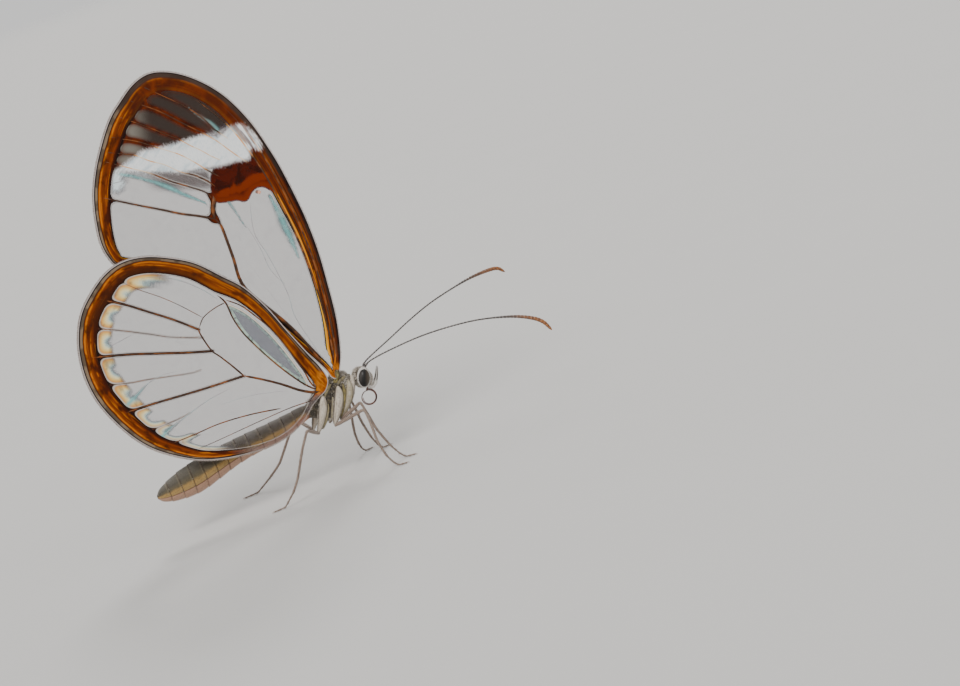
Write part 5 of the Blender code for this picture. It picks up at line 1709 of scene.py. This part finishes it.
def stage_camera():
    """The camera at the photo's angle, rolled because the butterfly stands level here."""
    az, el, roll = (math.radians(a) for a in (CAMERA_TURN, CAMERA_RISE, CAMERA_ROLL))
    back = np.array([math.sin(az) * math.cos(el), -math.cos(az) * math.cos(el), math.sin(el)])
    right = np.array([math.cos(az), math.sin(az), 0.0])
    up = np.cross(back, right)
    image_right = math.cos(roll) * right - math.sin(roll) * up
    image_up = math.sin(roll) * right + math.cos(roll) * up
    lens = bpy.data.cameras.new("camera")
    lens.lens, lens.sensor_width, lens.clip_start = CAMERA_LENS, CAMERA_SENSOR, CAMERA_NEAR
    camera = bpy.data.objects.new("camera", lens)
    camera.matrix_world = turned(image_right, image_up, back, CAMERA_AT)
    bpy.context.scene.collection.objects.link(camera)
    bpy.context.scene.camera = camera


def studio(look):
    """A pale floor, an even pale sky, soft lamps and the camera."""
    stage_floor(look)
    stage_lights(look)
    stage_camera()


# ---------------------------------------------------------------- add-on
def colour_of(name, default, text):
    return bpy.props.FloatVectorProperty(
        name=name, description=text, default=default, subtype="COLOR", size=3, min=0.0, max=1.0
    )


class WingLook(bpy.types.PropertyGroup):
    amber: colour_of("Amber", (0.21, 0.036, 0.0016), "Main colour of the band round the wings")
    # The second amber is the colour of painted highlights in the band: its gleams and the light stops in its
    # ramps.
    bright: colour_of("Bright amber", (0.66, 0.19, 0.006), "Lights in the band")
    deep: colour_of("Deep brown", (0.04, 0.006, 0.001), "Shades in the band and the patch")
    tint: colour_of("Film tint", (0.08, 0.05, 0.075), "Colour of the clear film")
    white: colour_of("White band", (0.96, 0.99, 1.0), "Colour of the band of white scales")
    sheen: colour_of("Sheen", (0.22, 0.5, 0.5), "Colour of the glints beside the veins")
    vein_scale: bpy.props.FloatProperty(
        name="Vein scale", description="Thickness of the veins", default=1.0, min=0.5, max=2.0
    )
    fringe: bpy.props.FloatProperty(
        name="Fringe", description="Length of the scales at the rim", default=0.00013, min=0.0,
        max=0.001, unit="LENGTH",
    )


class BodyLook(bpy.types.PropertyGroup):
    plate: colour_of("Side plates", (0.6, 0.53, 0.43), "Colour of the chest's side plates")
    back: colour_of("Back", (0.07, 0.06, 0.042), "Colour of the hind body's back")
    flank: colour_of("Flank", (0.36, 0.235, 0.09), "Colour of the hind body's side")
    belly: colour_of("Belly", (0.46, 0.27, 0.185), "Colour of the hind body's underside")
    hair: bpy.props.FloatProperty(
        name="Hair", description="Length of the body's hair-like scales", default=0.00034, min=0.0, max=0.002,
        unit="LENGTH",
    )


class StageLook(bpy.types.PropertyGroup):
    floor: colour_of("Floor", (0.55, 0.543, 0.532), "Colour of the studio floor")
    sky: colour_of("Surroundings", (0.96, 0.955, 0.945), "Colour of the light from all round")


class MakeStage(bpy.types.Operator):
    """Add the pale floor, the lamps and the camera"""

    bl_idname = "butterfly.stage"
    bl_label = "Stage"

    def execute(self, context):
        studio(context.scene.butterfly_stage)
        return {"FINISHED"}


class MakeForewings(bpy.types.Operator):
    """Add both forewings with their veins, creases and fringe"""

    bl_idname = "butterfly.forewings"
    bl_label = "Forewings"

    def execute(self, context):
        wing_pair("fore", context.scene.butterfly_wings)
        return {"FINISHED"}


class MakeHindwings(bpy.types.Operator):
    """Add both hindwings with their veins, creases and fringe"""

    bl_idname = "butterfly.hindwings"
    bl_label = "Hindwings"

    def execute(self, context):
        wing_pair("hind", context.scene.butterfly_wings)
        return {"FINISHED"}


class MakeBody(bpy.types.Operator):
    """Add the skin of the head, chest and hind body, and its coat of scales"""

    bl_idname = "butterfly.body"
    bl_label = "Body"

    def execute(self, context):
        body_group(context.scene.butterfly_body)
        return {"FINISHED"}


class MakeHead(bpy.types.Operator):
    """Add the eyes, palps and drinking tube"""

    bl_idname = "butterfly.head"
    bl_label = "Eyes and mouth"

    def execute(self, context):
        head_group()
        return {"FINISHED"}


class MakeAntennae(bpy.types.Operator):
    """Add the two feelers"""

    bl_idname = "butterfly.antennae"
    bl_label = "Feelers"

    def execute(self, context):
        antenna_group()
        return {"FINISHED"}


class MakeLegs(bpy.types.Operator):
    """Add the six legs with their claws and spines"""

    bl_idname = "butterfly.legs"
    bl_label = "Legs"

    def execute(self, context):
        leg_group()
        return {"FINISHED"}


STEPS = (MakeStage, MakeForewings, MakeHindwings, MakeBody, MakeHead, MakeAntennae, MakeLegs)


class ButterflyPanel(bpy.types.Panel):
    """The butterfly's sizes, colours and pieces"""

    bl_idname = "VIEW3D_PT_butterfly"
    bl_label = "Butterfly"
    bl_space_type = "VIEW_3D"
    bl_region_type = "UI"
    bl_category = "Butterfly"

    def draw(self, context):
        kept = context.scene
        for group in (kept.butterfly_wings, kept.butterfly_body, kept.butterfly_stage):
            for name in group.__annotations__:
                self.layout.prop(group, name)
        for step in STEPS:
            self.layout.operator(step.bl_idname)


LOOKS = {"butterfly_wings": WingLook, "butterfly_body": BodyLook, "butterfly_stage": StageLook}


def register():
    for made in (*LOOKS.values(), *STEPS, ButterflyPanel):
        bpy.utils.register_class(made)
    for name, look in LOOKS.items():
        setattr(bpy.types.Scene, name, bpy.props.PointerProperty(type=look))


def unregister():
    for name in LOOKS:
        delattr(bpy.types.Scene, name)
    for made in reversed((*LOOKS.values(), *STEPS, ButterflyPanel)):
        bpy.utils.unregister_class(made)


def main():
    register()
    for step in STEPS:
        group, name = step.bl_idname.split(".")
        getattr(getattr(bpy.ops, group), name)()


if __name__ == "__main__":
    main()
